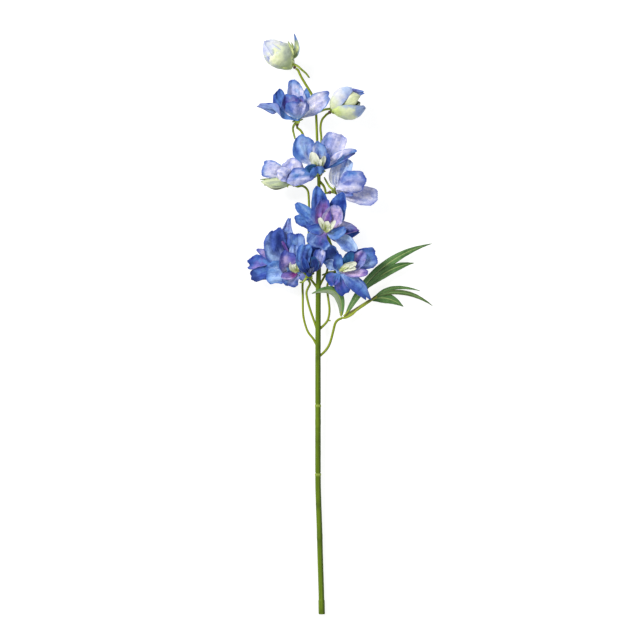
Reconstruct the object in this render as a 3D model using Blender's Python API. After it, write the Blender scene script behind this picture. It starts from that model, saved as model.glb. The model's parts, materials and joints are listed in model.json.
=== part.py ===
"""Delphinium flower spike laid flat: fabric blooms, buds and leaves on a moulded plastic stem."""

import math
from collections import namedtuple

import bmesh
import bpy
from mathutils import Quaternion, Vector

# The tables are in millimetres on the stem's own measure: Y runs up the stem from the middle of
# its cut end, X to the right of it as seen from above, and Z up from the surface it lies on.
MM = 0.001
MEASURE_ORIGIN = Vector((21.9, 305.0, 0.0))

PETAL_THICKNESS = 0.8
LARGE_PETAL = 14.0
LEAF_THICKNESS = 0.9
NODE_GAP = 0.3

# Main stem: its run and radius, its sleeve at the cut end and its moulded joint rings
STEM_RUN = [(1.9, 0), (1.3, 26), (0.3, 58), (-0.5, 89), (-1.6, 121), (-2.1, 147), (-2.1, 220),
            (-2.1, 278), (-1.8, 341), (-1.4, 362), (-0.8, 404), (-1.0, 440), (-1.5, 461),
            (-3.0, 498), (-4.2, 527), (-6.3, 537.6), (-8.9, 547), (-14.7, 556.5), (-20.0, 565.5)]
STEM_RADIUS = [(0, 2.75), (220, 2.7), (300, 2.45), (341, 2.35), (404, 1.9), (461, 1.5),
               (498, 1.2), (547, 1.0), (600, 0.95)]
STEM_RISE = 11.0
STEM_RISE_AT = 346.0
STEM_RISE_POWER = 1.4
SLEEVE_LENGTH = 15.2
SLEEVE_RADIUS = 3.15
RING_PLACES = (147.0, 219.5)
RING_RADIUS = 3.05
RING_HALF_LENGTH = 0.9
BAND_SINK = 0.2
BAND_CHAMFER = 0.3
STEM_SIDES = 10
STALK_SIDES = 5
STALK_RADIUS = 1.0
STALK_APPROACH = 3.0

# Stack along a bloom's axis, measured from the middle of its outer petals
HEAD_SIDES = 8
DISC_HALF = 0.8
OUTER_DISC_RADIUS = 3.4
INNER_DISC_RADIUS = 2.6
ROOT_SHARE = 0.78
ROOT_HOLD = 0.4
RUFFLE_ALONG = 7.0
RUFFLE_ACROSS = 2.0
SHARP_ANGLE = math.radians(40)
INNER_DISC_AT = 2 * DISC_HALF + NODE_GAP
BEE_AT = INNER_DISC_AT + DISC_HALF + NODE_GAP
CALYX_TOP = -(DISC_HALF + NODE_GAP)
CALYX_HEIGHT = 5.2
CALYX_RADIUS = 3.8
CALYX_NECK = 1.5
CALYX_BELLY = 2.6
CALYX_BELLY_AT = 3.0
SPUR_AT = 2.6
SPUR_RADIUS = 1.1
SPUR_TAPER = 0.5
COLLAR_TOP = CALYX_TOP - CALYX_HEIGHT - NODE_GAP
COLLAR_HEIGHT = 2.9
COLLAR_RADIUS = 1.9
COLLAR_SHOULDER = 1.75
COLLAR_MOUTH = 1.2
STALK_TOP = COLLAR_TOP - COLLAR_HEIGHT - NODE_GAP

# Bee: shares of its length, of its radius there, and of that radius in its flutes' depth
BEE_PROFILE = [(0.0, 0.3, 0.0), (0.4, 0.6, 0.25), (0.75, 1.0, 0.4), (1.0, 0.95, 0.5)]
BEE_SIDES = 8
BEE_HOLLOW_AT = 0.6
BEE_LOBE_DROP = 0.3

# A blade runs from its root through mid to its tip, both measured from its hub. Roll turns it
# about its run, in degrees from facing up, and cup is the bend across it, in radians.
Blade = namedtuple("Blade", "mid tip width roll cup shape ruffle")

# Outline of a blade as shares of its full width and length: the width at its root, the place
# where it is widest, the width of its tip and how far the tip's corners fall back. Turn is how
# far its outer part is twisted over, in degrees.
Outline = namedtuple("Outline", "root widest tip fall turn")
OUTLINES = {
    "broad": Outline(0.24, 0.62, 0.80, 0.24, 0),
    "claw": Outline(0.18, 0.68, 0.80, 0.24, 0),
    "bud": Outline(0.22, 0.50, 0.62, 0.25, 0),
    "round": Outline(0.24, 0.62, 0.62, 0.20, 0),
    "twist": Outline(0.55, 0.60, 0.75, 0.22, 160),
    "curl": Outline(0.50, 0.60, 0.45, 0.20, 60),
    "lance": Outline(0.45, 0.45, 0.16, 0.04, 0),
    "leaf": Outline(0.30, 0.50, 0.06, 0.01, 0),
}
TWIST_FROM = 0.35
TWIST_TO = 0.85

# Fabric and plastic colours
STEM_GREEN = (0.25, 0.32, 0.04)
CALYX_GREEN = (0.30, 0.38, 0.12)
COLLAR_BROWN = (0.09, 0.02, 0.015)
LEAF_GREEN = (0.07, 0.20, 0.04)
BEE_CREAM = (0.80, 0.76, 0.55)
PALE_GREEN = (0.62, 0.70, 0.35)
PALE_LILAC = (0.48, 0.47, 0.80)
SKY_BLUE = (0.17, 0.27, 0.70)
ROYAL_BLUE = (0.03, 0.07, 0.42)
VIOLET = (0.17, 0.12, 0.50)

# Bee is the way from the hub to the tip of the tuft in the middle of the bloom
Head = namedtuple("Head", "name hub axis outer inner bee bee_radius spur outer_colour inner_colour")

HEADS = [
    Head("bud_1", (-33, 580, 26), (-0.76, 0.60, 0.10),
         [Blade((8.5, 13, 1), (6, 30, 1), 7, -15, 0.5, "lance", 0.3),
          Blade((3.5, 11, 8), (-1, 22.5, 9.5), 4, 0, 0.3, "lance", 0),
          Blade((5, 11, -3), (3, 21.5, -3), 4, 0, 0.3, "lance", 0)],
         [Blade((-11, 9, 7), (-25, 21, 3), 34.5, 0, -0.95, "bud", 0.3),
          Blade((-11, 7.5, -6.5), (-26, 18.5, -2), 31.5, 0, 0.95, "bud", 0.3)],
         (0, 0, 0), 0, [(5.8, -2.1, 2), (10, -4.2, 3), (14.2, -7.9, 3), (18.4, -11.6, 3), (22, -16.3, 2)],
         PALE_GREEN, PALE_LILAC),
    Head("bloom_2", (-24, 521, 27), (0.0, 0.72, 0.69),
         [Blade((-23, 11.5, -3), (-42, 14, -3), 13.5, 0, 0.3, "twist", 0.4),
          Blade((-14.5, 12.5, -1), (-22.5, 25.5, -2), 19, 0, 0.3, "broad", 0.8),
          Blade((-1, 20, -2.5), (-2, 41.5, -3), 19, 0, 0.3, "broad", 0.6),
          Blade((8.5, 17, -2), (9.5, 32, -3), 8.5, 0, 0.3, "round", 0.3),
          Blade((16, 16.5, 2), (34, 28.5, 3), 21, 0, 0.3, "claw", 0.8)],
         [Blade((-6, 12.5, 6.5), (-7, 26, 9), 20, 0, 0.3, "claw", 0.4),
          Blade((3, 12.5, 5.5), (3.5, 24, 7.5), 9.5, 0, 0.4, "round", 0.3),
          Blade((0, 7, 13), (0, 17, 23), 28.5, 0, -0.6, "broad", 0.5)],
         (5, 16, 15), 2.2, [(-3.7, -7.4, -4), (-4.4, -11.6, -6), (-3.2, -16.8, -7), (-2.1, -21.5, -8)],
         SKY_BLUE, PALE_LILAC),
    Head("bud_3", (16.5, 532, 25), (0.78, 0.52, 0.33),
         [Blade((0.5, 11, 5), (10, 21, 6), 14.5, -10, 0.5, "broad", 0.4),
          Blade((13, 12, -5), (29, 17.5, -4), 13.5, 0, 0.3, "broad", 0.5),
          Blade((12, -3.5, 5), (29, 4, 6), 17, 10, 0.5, "broad", 0.5)],
         [Blade((11, 5.5, 3), (23.5, 16, 2), 13.5, 0, -0.7, "round", 0.3),
          Blade((11, 3.5, -2), (22.5, 10, -1), 9.5, 0, 0.5, "round", 0.2)],
         (0, 0, 0), 0, [(-5.8, -0.7, 1), (-11, -1.3, 2), (-16.3, -3.4, 2), (-20.5, -4.9, 2), (-24.7, -7.6, 1)],
         PALE_LILAC, PALE_GREEN),
    Head("bloom_4", (0, 467, 31), (0.05, 0.60, 0.80),
         [Blade((-14.5, 17, 0), (-20, 35.5, 1), 24, 0, 0.3, "broad", 0.7),
          Blade((11.5, 19, 0), (17, 40.5, 1), 27.5, 0, 0.3, "broad", 0.7),
          Blade((20, 10.5, -1), (38, 19, 0), 13.5, 0, 0.4, "curl", 0.4)],
         [Blade((-1, 13.5, 5.5), (0, 29.5, 9), 17, 0, 0.3, "broad", 0.4),
          Blade((-7.5, 1.5, 7), (-14.5, 3, 11), 8.5, 0, 0.5, "round", 0.3),
          Blade((-2.5, -4, 7), (-3, 4, 14), 18, 0, -0.4, "broad", 0.3),
          Blade((7, 6.5, 6), (8.5, 16, 9), 6.5, 0, 0.4, "round", 0.2)],
         (-3, 10, 12), 3.7, [(-3, -5, -4), (-6, -7.4, -4), (-8.4, -8.2, -4)],
         SKY_BLUE, PALE_LILAC),
    Head("bud_5", (-34.5, 454.5, 24), (-0.86, 0.36, 0.36),
         [Blade((-9.5, -1, -1), (-27.5, 2, -1), 9.5, 0, -0.6, "lance", 0.2),
          Blade((-8.5, -6.5, -3), (-23, -5, -2), 8, 20, -0.6, "lance", 0.2)],
         [Blade((-11.5, 12.5, 3), (-25.5, 18, 2), 18, 0, -0.4, "broad", 0.5),
          Blade((9.5, 12.5, 3.5), (14, 23.5, 3), 29.5, 0, 0.3, "broad", 0.5)],
         (0, 0, 0), 0, [(4, -4, -4), (7, -8, -5), (11, -12, -5)],
         PALE_GREEN, PALE_LILAC),
    Head("bloom_6", (18, 445.5, 23), (0.93, 0.20, 0.30),
         [Blade((-4.5, 15, 2), (2, 31, 2), 10, 0, 0.4, "round", 0.4),
          Blade((7.5, 19.5, -1), (11, 33, -2), 14, 0, 0.3, "broad", 0.4),
          Blade((12.5, 9, 9), (29.5, 7.5, 11), 25, 0, -0.5, "broad", 0.6),
          Blade((21, -4.5, -2), (42.5, -7, -4), 20, 0, 0.4, "broad", 0.6),
          Blade((10.5, -3.5, -6), (25, -11.5, -8), 7.5, 0, 0.4, "round", 0.5)],
         [Blade((9.5, -3, 3), (16.5, -4, 3.5), 6, 0, 0.3, "round", 0.2),
          Blade((9.5, 3.5, 1), (16, 5, 1), 6, 0, 0.3, "round", 0.2)],
         (9, 1.6, 4.5), 1.1, [(-4, 1, 4), (-8.4, 4.7, 5), (-13.7, 14.2, 3)],
         SKY_BLUE, VIOLET),
    Head("bloom_7", (6.5, 401, 29), (0.0, 0.25, 0.97),
         [Blade((-7.5, 22, 3), (-8.5, 48, 5), 23, 0, 0.4, "broad", 0.6),
          Blade((9.5, 21, 3), (13.5, 43, 6), 19, 0, 0.4, "broad", 0.6),
          Blade((-16.5, 13.5, 1), (-32.5, 22, 0), 21, 0, 0.3, "broad", 0.6),
          Blade((18, 0, 2), (34, 3, 1), 19, 0, 0.4, "round", 0.4),
          Blade((19, -8.5, -2), (27.5, -16.5, -7), 17, 0, 0.4, "round", 0.4)],
         [Blade((-5, 18, 8), (-3, 34, 13), 18, 0, 0.6, "broad", 0.4),
          Blade((6.5, 16, 7.5), (9.5, 29, 12), 20, 0, 0.6, "broad", 0.4),
          Blade((-8.5, 3.5, 6), (-18.5, 2.5, 8), 10.5, 0, 0.5, "round", 0.2),
          Blade((10, -2, 6), (19, 4, 7), 12.5, 0, 0.4, "round", 0.3),
          Blade((-7, -6.5, 5), (-10.5, -15, 3), 27.5, 0, 0.3, "broad", 0.5)],
         (0, 8.5, 11), 3.8, [(3, -5.5, -5), (4.5, -11, -7), (4, -16, -7)],
         ROYAL_BLUE, VIOLET),
    Head("bloom_8", (-22, 360, 17), (-0.35, 0.25, 0.90),
         [Blade((-22, 21, 3), (-24, 45, 6), 26, 0, 0.3, "broad", 0.6),
          Blade((-8.5, 28.5, 0), (-10, 55.5, -3), 10.5, 0, 0.4, "lance", 0.4),
          Blade((-3, 22, 3), (-3, 41.5, 6), 20, 0, 0.3, "broad", 0.6),
          Blade((-28.5, 7.5, -4), (-53, 11, -17.5), 14.5, 0, 0.4, "broad", 0.5),
          Blade((-28.5, 3, 1), (-51, -3.5, -6), 19, 0, 0.4, "broad", 0.8),
          Blade((-24, 11.5, 1), (-43.5, 22, 0), 9.5, 0, 0.4, "broad", 0.3),
          Blade((-6, -5, 0), (-9.5, -12, 0), 21, 0, 0.2, "broad", 0.3)],
         [Blade((-18, -3.5, 6), (-35, -4.5, 5), 17, 0, 0.4, "round", 0.5),
          Blade((-14, 8, 9), (-14, 22.5, 13), 14, 0, 0.5, "broad", 0.4),
          Blade((-10.5, -4, 8), (-19, -3, 10), 8.5, 0, 0.5, "round", 0.2)],
         (-2.5, 8.5, 8), 2.3, [(-1, -6, -7), (-3, -12, -9), (-6, -16, -9)],
         ROYAL_BLUE, VIOLET),
    Head("bloom_9", (-11.5, 358, 25), (0.10, 0.40, 0.90),
         [Blade((-6.5, 13.5, 3), (-2, 31, 3), 14.5, 0, 0.5, "broad", 0.5),
          Blade((3, 16, 0), (4.5, 29, 0), 16, 0, 0.3, "round", 0.4),
          Blade((9.5, 12.5, 3), (11.5, 27, 4), 10.5, 0, 0.5, "round", 0.4)],
         [Blade((6, 9.5, 6), (3.5, 18.5, 9), 9.5, 0, 0.5, "round", 0.2),
          Blade((-3.5, 8.5, 7), (-6, 17, 9), 7.5, 0, 0.5, "round", 0.2)],
         (1.5, 5, 7), 1.9, [(-3, -4, -3), (-6, -8, -3), (-10, -9, -2)],
         ROYAL_BLUE, ROYAL_BLUE),
    Head("bloom_10", (20, 361, 20), (0.25, 0.10, 0.96),
         [Blade((-9.5, 12.5, 2), (-11, 26, 4), 21, 0, 0.4, "broad", 0.5),
          Blade((-8, 4, 0), (-15, 6, 1), 12.5, 0, 0.4, "round", 0.3),
          Blade((8.5, 10.5, 3), (8.5, 22.5, 5), 14.5, 0, 0.4, "round", 0.3),
          Blade((20, 11, 2), (40, 16.5, 2), 23, 0, 0.3, "broad", 0.9),
          Blade((-5, -5, 0), (-11.5, -9.5, -2), 12.5, 0, 0.4, "broad", 0.4),
          Blade((2, -10.5, 0), (4.5, -23.5, -4), 16, 0, 0.4, "broad", 0.6),
          Blade((16, -12.5, 2), (31.5, -28, -5), 17, 0, 0.4, "round", 0.5)],
         [Blade((-1, 7.5, 8), (0, 19, 12), 11.5, 0, 0.6, "round", 0.2),
          Blade((14.5, 8.5, 7), (24.5, 20, 9.5), 18, 0, 0.5, "broad", 0.4),
          Blade((16, -1.5, 6), (31, -1.5, 7), 10.5, 0, 0.4, "round", 0.3)],
         (14, 5, 14), 3, [(-4, -1, -4), (-10, -1, -5), (-15, -3, -5), (-18, -4.2, -4)],
         ROYAL_BLUE, VIOLET),
]

# Stalks moulded onto the stem: the run of each up to the foot of its head, and the head's name
STALKS = [
    ("bloom_8", [(-2.5, 282, 11.3), (-7.4, 290.3, 10.5), (-12.6, 297.2, 9.5), (-16.3, 307.7, 9),
                 (-17.9, 318.2, 9), (-18.1, 336, 8), (-18.4, 345.4, 7.5)]),
    ("bloom_9", [(-2.4, 298, 12), (-9.5, 318.2, 12), (-12.6, 328.7, 12), (-14.2, 338.1, 12),
                 (-12.6, 343.4, 12), (-10.5, 348.0, 12.5)]),
    ("bud_5", [(-2.1, 343, 14), (-8.4, 351, 9), (-11.6, 357, 6), (-12.1, 383.2, 7),
               (-11.6, 423.2, 12), (-11.8, 437.9, 16), (-13.1, 446.2, 18), (-18, 450.5, 19.5)]),
    ("bloom_7", [(-2.1, 343, 14), (3.2, 352.8, 12), (7.4, 361.2, 9), (10.5, 376.9, 9),
                 (12, 388, 11)]),
    ("bloom_10", [(-2, 299, 12), (4.2, 304.5, 11), (8.4, 310.3, 10), (10, 320.2, 9.5),
                  (8.9, 330.8, 9), (7.9, 339.2, 8.5), (8.5, 348.6, 8.5)]),
    ("bloom_6", [(-1.2, 456, 19.3), (3.2, 451.5, 19.5), (5.2, 447.4, 19.5)]),
    ("bloom_4", [(-1.2, 452, 19.2), (-0.6, 457.5, 21)]),
    ("bloom_2", [(-2.0, 472, 20), (-6, 480, 20), (-12.6, 490.4, 19), (-16.8, 501.9, 18),
                 (-19.8, 508.2, 18.5)]),
    ("bud_3", [(-1.8, 470, 20), (1.1, 485, 21.5), (1.3, 501.4, 22), (0.5, 511.4, 22),
               (2.1, 519.8, 21.8)]),
]
STEM_TO_BUD = "bud_1"
LEAF_STALK = [(-2.1, 270, 10.9), (6.3, 278.2, 10), (10.5, 285.6, 9.5), (13.7, 297.2, 9),
              (15.8, 305.6, 9), (18.9, 309.8, 9), (23.0, 311.6, 9)]
LEAF_STALK_RADIUS = 1.3
STALK_NUB = [(7.6, 309.6, 10), (11.2, 309.0, 10)]
STALK_NUB_RADII = [0.9, 0.7]

Leaf = namedtuple("Leaf", "name stalk stalk_radius hub lobes")
LEAVES = [
    Leaf("leaf_1", [(22.2, 314.6, 9.5), (22.6, 319, 10)], 1.0, (22.6, 317, 9.8),
         [Blade((0.4, 14.5, 3.2), (-7, 22, 5), 9, 0, -0.5, "leaf", 0),
          Blade((-5.2, 26, 7), (-32, 20.5, 8.2), 7, 0, -0.5, "leaf", 0)]),
    Leaf("leaf_2", [(25.7, 314.5, 9), (30.5, 320, 8.8)], 1.0, (29.5, 319, 8.9),
         [Blade((27.2, 35.9, -0.4), (86, 71.1, -2), 15.5, 0, -0.4, "leaf", 0),
          Blade((33, 33, -0.6), (68.7, 50.6, -3), 12, 0, 0.4, "leaf", 0)]),
    Leaf("leaf_3", [(23.8, 312, 9), (27, 312.2, 9), (33.6, 315.5, 8.4), (42, 323.4, 7.2), (50.4, 329.7, 6),
                    (60, 334.5, 5)], 1.2, (58.8, 334, 5.2),
         [Blade((22, 10.4, 0), (46.2, 6.9, -3), 6, 0, -0.4, "leaf", 0),
          Blade((26, 4.8, -0.5), (59.3, -8.7, -4.6), 7, 0, -0.3, "leaf", 0),
          Blade((15, -1.2, -0.8), (28.4, -9.6, -3.5), 10, 0, -0.3, "leaf", 0)]),
]


def interpolate(table, x):
    """Value at x of a table of (x, value) pairs, straight between its rows."""
    for (x0, value0), (x1, value1) in zip(table, table[1:]):
        if x <= x1:
            share = max(0.0, (x - x0) / (x1 - x0))
            return value0 + (value1 - value0) * share
    return table[-1][1]


def stem_height(y):
    """Height of the stem's middle above the surface, at y along it."""
    return SLEEVE_RADIUS + STEM_RISE * (max(y, 0.0) / STEM_RISE_AT) ** STEM_RISE_POWER


def smooth_run(points, steps):
    """Points of a Catmull-Rom curve through the given ones, with so many steps between two."""
    points = [Vector(point) for point in points]
    ends = [2 * points[0] - points[1]] + points + [2 * points[-1] - points[-2]]
    run = []
    for p0, p1, p2, p3 in zip(ends, ends[1:], ends[2:], ends[3:]):
        for step in range(steps):
            t = step / steps
            run.append(0.5 * (2 * p1 + (p2 - p0) * t + (2 * p0 - 5 * p1 + 4 * p2 - p3) * t ** 2
                              + (3 * p1 - p0 - 3 * p2 + p3) * t ** 3))
    return run + [points[-1]]


def material(name, colour, roughness):
    """Plain Principled material of one colour."""
    made = bpy.data.materials.new(name)
    made.use_nodes = True
    shader = made.node_tree.nodes["Principled BSDF"]
    shader.inputs["Base Color"].default_value = (*colour, 1.0)
    shader.inputs["Roughness"].default_value = roughness
    shader.inputs["Metallic"].default_value = 0.0
    return made


def tube(run, radii, sides):
    """Closed tube round a run of points, with a radius at each."""
    shell = bmesh.new()
    rings = []
    across = Vector((1.0, 0.0, 0.0))
    for index, point in enumerate(run):
        before = run[max(index - 1, 0)]
        after = run[min(index + 1, len(run) - 1)]
        along = (after - before).normalized()
        across = (across - along * across.dot(along)).normalized()
        up = along.cross(across)
        ring = []
        for side in range(sides):
            angle = 2 * math.pi * side / sides
            offset = across * math.cos(angle) + up * math.sin(angle)
            ring.append(shell.verts.new(point + offset * radii[index]))
        rings.append(ring)
    for lower, upper in zip(rings, rings[1:]):
        for side in range(sides):
            after = (side + 1) % sides
            shell.faces.new((lower[side], lower[after], upper[after], upper[side]))
    shell.faces.new(list(reversed(rings[0])))
    shell.faces.new(rings[-1])
    return shell


def turned(foot, axis, profile, sides):
    """Closed turned solid on an axis from its foot, from (distance, radius) pairs."""
    axis = Vector(axis).normalized()
    run = [Vector(foot) + axis * distance for distance, radius in profile]
    return tube(run, [radius for distance, radius in profile], sides)


def blade_width(outline, u):
    """Share of a blade's full width at u along it."""
    if u < outline.widest:
        rise = math.sin(0.5 * math.pi * u / outline.widest)
        return outline.root + (1 - outline.root) * rise
    beyond = (u - outline.widest) / (1 - outline.widest)
    return 1 - (1 - outline.tip) * beyond ** 2


def ease(x):
    """Smooth step from 0 to 1 as x goes from 0 to 1."""
    x = min(max(x, 0.0), 1.0)
    return x * x * (3 - 2 * x)


def blade_facing(along, chord, roll):
    """Way a blade faces when it is turned by roll from facing up, square to its run."""
    side = Vector((-chord.y, chord.x, 0.0))
    side = (side - along * side.dot(along)).normalized()
    return Quaternion(along, math.radians(roll)) @ along.cross(side)


def blade_point(root, hub, axis, blade, u, v):
    """Point of a blade's middle surface, at u along it and v across it from -1 to 1."""
    mid = hub + Vector(blade.mid)
    tip = hub + Vector(blade.tip)
    pull = 2 * mid - (root + tip) / 2
    outline = OUTLINES[blade.shape]
    s = u * (1 - outline.fall * v ** 2)
    point = root * (1 - s) ** 2 + pull * (2 * s * (1 - s)) + tip * s ** 2
    along = ((pull - root) * (1 - s) + (tip - pull) * s).normalized()
    turn = outline.turn * ease((u - TWIST_FROM) / (TWIST_TO - TWIST_FROM))
    free = blade_facing(along, tip - root, blade.roll + turn)
    start = (pull - root).normalized()
    lean = 1 if axis.dot(blade_facing(start, tip - root, blade.roll)) >= 0 else -1
    held = (axis - along * axis.dot(along)).normalized() * lean
    facing = held.lerp(free, ease(u / ROOT_HOLD))
    facing = (facing - along * facing.dot(along)).normalized()
    side = facing.cross(along)
    half_width = 0.5 * blade.width * blade_width(outline, u)
    cup = blade.cup * ease(u / ROOT_HOLD)
    if abs(cup) > 0.01:
        reach = half_width * math.sin(cup * v) / cup
        rise = half_width * (1 - math.cos(cup * v)) / cup
    else:
        reach = half_width * v
        rise = 0.0
    wave = blade.ruffle * v ** 2 * u * math.sin(RUFFLE_ALONG * u + RUFFLE_ACROSS * v)
    return point + side * reach + facing * (rise + wave)


def blade_solid(root, hub, axis, blade, thickness, along_steps, across_steps):
    """Closed thin solid of a blade, split into like triangles on both of its faces."""
    places = {}
    facing = {}
    for i in range(along_steps + 1):
        for j in range(across_steps + 1):
            v = 2 * j / across_steps - 1
            places[i, j] = blade_point(root, hub, axis, blade, i / along_steps, v)
            facing[i, j] = Vector()
    triangles = []
    for i in range(along_steps):
        for j in range(across_steps):
            triangles.append(((i, j), (i + 1, j), (i + 1, j + 1)))
            triangles.append(((i, j), (i + 1, j + 1), (i, j + 1)))
    for corners in triangles:
        first, second, third = [places[corner] for corner in corners]
        for corner in corners:
            facing[corner] += (second - first).cross(third - first).normalized()
    shell = bmesh.new()
    top = {}
    bottom = {}
    for corner, place in places.items():
        offset = facing[corner].normalized() * thickness / 2
        top[corner] = shell.verts.new(place + offset)
        bottom[corner] = shell.verts.new(place - offset)
    for first, second, third in triangles:
        shell.faces.new((top[first], top[second], top[third]))
        shell.faces.new((bottom[first], bottom[third], bottom[second]))
    rim = ([(0, j) for j in range(across_steps)]
           + [(i, across_steps) for i in range(along_steps)]
           + [(along_steps, j) for j in range(across_steps, 0, -1)]
           + [(i, 0) for i in range(along_steps, 0, -1)])
    for here, there in zip(rim, rim[1:] + rim[:1]):
        shell.faces.new((top[here], top[there], bottom[there]))
        shell.faces.new((top[here], bottom[there], bottom[here]))
    return shell


def new_object(name, shell, collection):
    """Object of a bmesh given in millimetres on the stem's measure."""
    for vert in shell.verts:
        vert.co = (vert.co - MEASURE_ORIGIN) * MM
    mesh = bpy.data.meshes.new(name)
    shell.to_mesh(mesh)
    shell.free()
    made = bpy.data.objects.new(name, mesh)
    collection.objects.link(made)
    return made


def fused(name, shells, finish):
    """One object joined from overlapping closed shells by a Boolean union."""
    scene_collection = bpy.context.scene.collection
    made = new_object(name, shells[0], scene_collection)
    if len(shells) > 1:
        repeats = bpy.data.collections.new(name + "_repeats")
        scene_collection.children.link(repeats)
        for shell in shells[1:]:
            new_object(name + "_repeat", shell, repeats)
        union = made.modifiers.new("union", "BOOLEAN")
        union.operation = "UNION"
        union.operand_type = "COLLECTION"
        union.collection = repeats
        union.solver = "MANIFOLD"
        depsgraph = bpy.context.evaluated_depsgraph_get()
        mesh = bpy.data.meshes.new_from_object(made.evaluated_get(depsgraph))
        made.modifiers.clear()
        made.data = mesh
        for repeat in list(repeats.objects):
            bpy.data.objects.remove(repeat, do_unlink=True)
        bpy.data.collections.remove(repeats)
    made.data.materials.clear()
    made.data.materials.append(finish)
    made.data.shade_smooth()
    made.data.set_sharp_from_angle(angle=SHARP_ANGLE)
    return made


def main_stem():
    """Tube of the main stem, with its sleeve, its joint rings and its bend to the top bud."""
    places = [(point[0], point[1], stem_height(point[1])) for point in STEM_RUN]
    head = head_named(STEM_TO_BUD)
    run = smooth_run(places + [stalk_foot(head)], 2) + [stalk_end(head)]
    radii = [interpolate(STEM_RADIUS, point.y) for point in run]
    return tube(run, radii, STEM_SIDES)


def stem_band(y, half_length, radius):
    """Short raised band round the main stem, with chamfered ends."""
    places = [Vector((point[0], point[1], stem_height(point[1]))) for point in STEM_RUN]
    x = interpolate([(point.y, point.x) for point in places], y)
    slope = interpolate([(p.y, (q.x - p.x) / (q.y - p.y)) for p, q in zip(places, places[1:])], y)
    foot = Vector((x, y, stem_height(y)))
    axis = Vector((slope, 1.0, stem_height(y + 1) - stem_height(y))).normalized()
    inner = interpolate(STEM_RADIUS, y) - BAND_SINK
    outer_half = half_length + BAND_CHAMFER
    profile = [(-outer_half, inner), (-half_length, radius), (half_length, radius),
               (outer_half, inner)]
    return turned(foot, axis, profile, STEM_SIDES)


def head_named(name):
    """Head of the given name."""
    return next(head for head in HEADS if head.name == name)


def along_axis(head, distance):
    """Point on a head's axis, at a distance from the middle of its outer petals."""
    return Vector(head.hub) + Vector(head.axis).normalized() * distance


def stalk_end(head):
    """Point where the stalk of a head ends, under its collar."""
    return along_axis(head, STALK_TOP)


def stalk_foot(head):
    """Point where the stalk of a head turns into line with its axis."""
    return along_axis(head, STALK_TOP - STALK_APPROACH)


def stem_with_stalks():
    """Main stem fused with every stalk that is moulded onto it."""
    shells = [main_stem()]
    sleeve_middle = SLEEVE_LENGTH / 2
    shells.append(stem_band(sleeve_middle, sleeve_middle - BAND_CHAMFER, SLEEVE_RADIUS))
    for place in RING_PLACES:
        shells.append(stem_band(place, RING_HALF_LENGTH, RING_RADIUS))
    for name, places in STALKS:
        head = head_named(name)
        run = smooth_run(places + [stalk_foot(head)], 2) + [stalk_end(head)]
        shells.append(tube(run, [STALK_RADIUS] * len(run), STALK_SIDES))
    run = smooth_run(LEAF_STALK, 2)
    shells.append(tube(run, [LEAF_STALK_RADIUS] * len(run), STALK_SIDES))
    shells.append(tube([Vector(point) for point in STALK_NUB], STALK_NUB_RADII, STALK_SIDES))
    return fused("stem", shells, material("stem_plastic", STEM_GREEN, 0.5))


def petal_layer(head, layer, blades, disc_at, disc_radius, colour):
    """Petals of one layer of a head, fused at its middle disc."""
    axis = Vector(head.axis).normalized()
    hub = Vector(head.hub)
    middle = hub + axis * disc_at
    profile = [(disc_at - DISC_HALF, disc_radius * 0.8), (disc_at, disc_radius),
               (disc_at + DISC_HALF, disc_radius * 0.8)]
    shells = [turned(hub, axis, profile, HEAD_SIDES)]
    for blade in blades:
        reach = Vector(blade.mid)
        reach = (reach - axis * reach.dot(axis)).normalized()
        root = middle + reach * disc_radius * ROOT_SHARE
        steps = (5, 3) if blade.width > LARGE_PETAL else (4, 2)
        shells.append(blade_solid(root, hub, axis, blade, PETAL_THICKNESS, *steps))
    name = head.name + "_" + layer
    return fused(name, shells, material(name + "_fabric", colour, 0.85))


def calyx(head):
    """Green cup under a head's petals, with a thin curved spur."""
    axis = Vector(head.axis).normalized()
    hub = Vector(head.hub)
    foot = CALYX_TOP - CALYX_HEIGHT
    profile = [(foot, CALYX_NECK), (foot + 1.0, CALYX_NECK * 1.25),
               (foot + CALYX_BELLY_AT, CALYX_BELLY), (CALYX_TOP - 0.5, CALYX_RADIUS),
               (CALYX_TOP, CALYX_RADIUS * 0.9)]
    shells = [turned(hub, axis, profile, HEAD_SIDES)]
    start = along_axis(head, foot + SPUR_AT)
    run = smooth_run([start] + [hub + Vector(point) for point in head.spur], 2)
    radii = [SPUR_RADIUS - SPUR_TAPER * index / (len(run) - 1) for index in range(len(run))]
    shells.append(tube(run, radii, STALK_SIDES))
    return fused(head.name + "_calyx", shells, material(head.name + "_green", CALYX_GREEN, 0.6))


def collar(head):
    """Dark bead between a head's stalk and its calyx."""
    shares = [(1.0, COLLAR_MOUTH), (0.8, COLLAR_SHOULDER), (0.5, COLLAR_RADIUS),
              (0.2, COLLAR_SHOULDER), (0.0, COLLAR_MOUTH)]
    profile = [(COLLAR_TOP - share * COLLAR_HEIGHT, radius) for share, radius in shares]
    shell = turned(head.hub, head.axis, profile, HEAD_SIDES)
    return fused(head.name + "_collar", [shell], material(head.name + "_brown", COLLAR_BROWN, 0.4))


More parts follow.
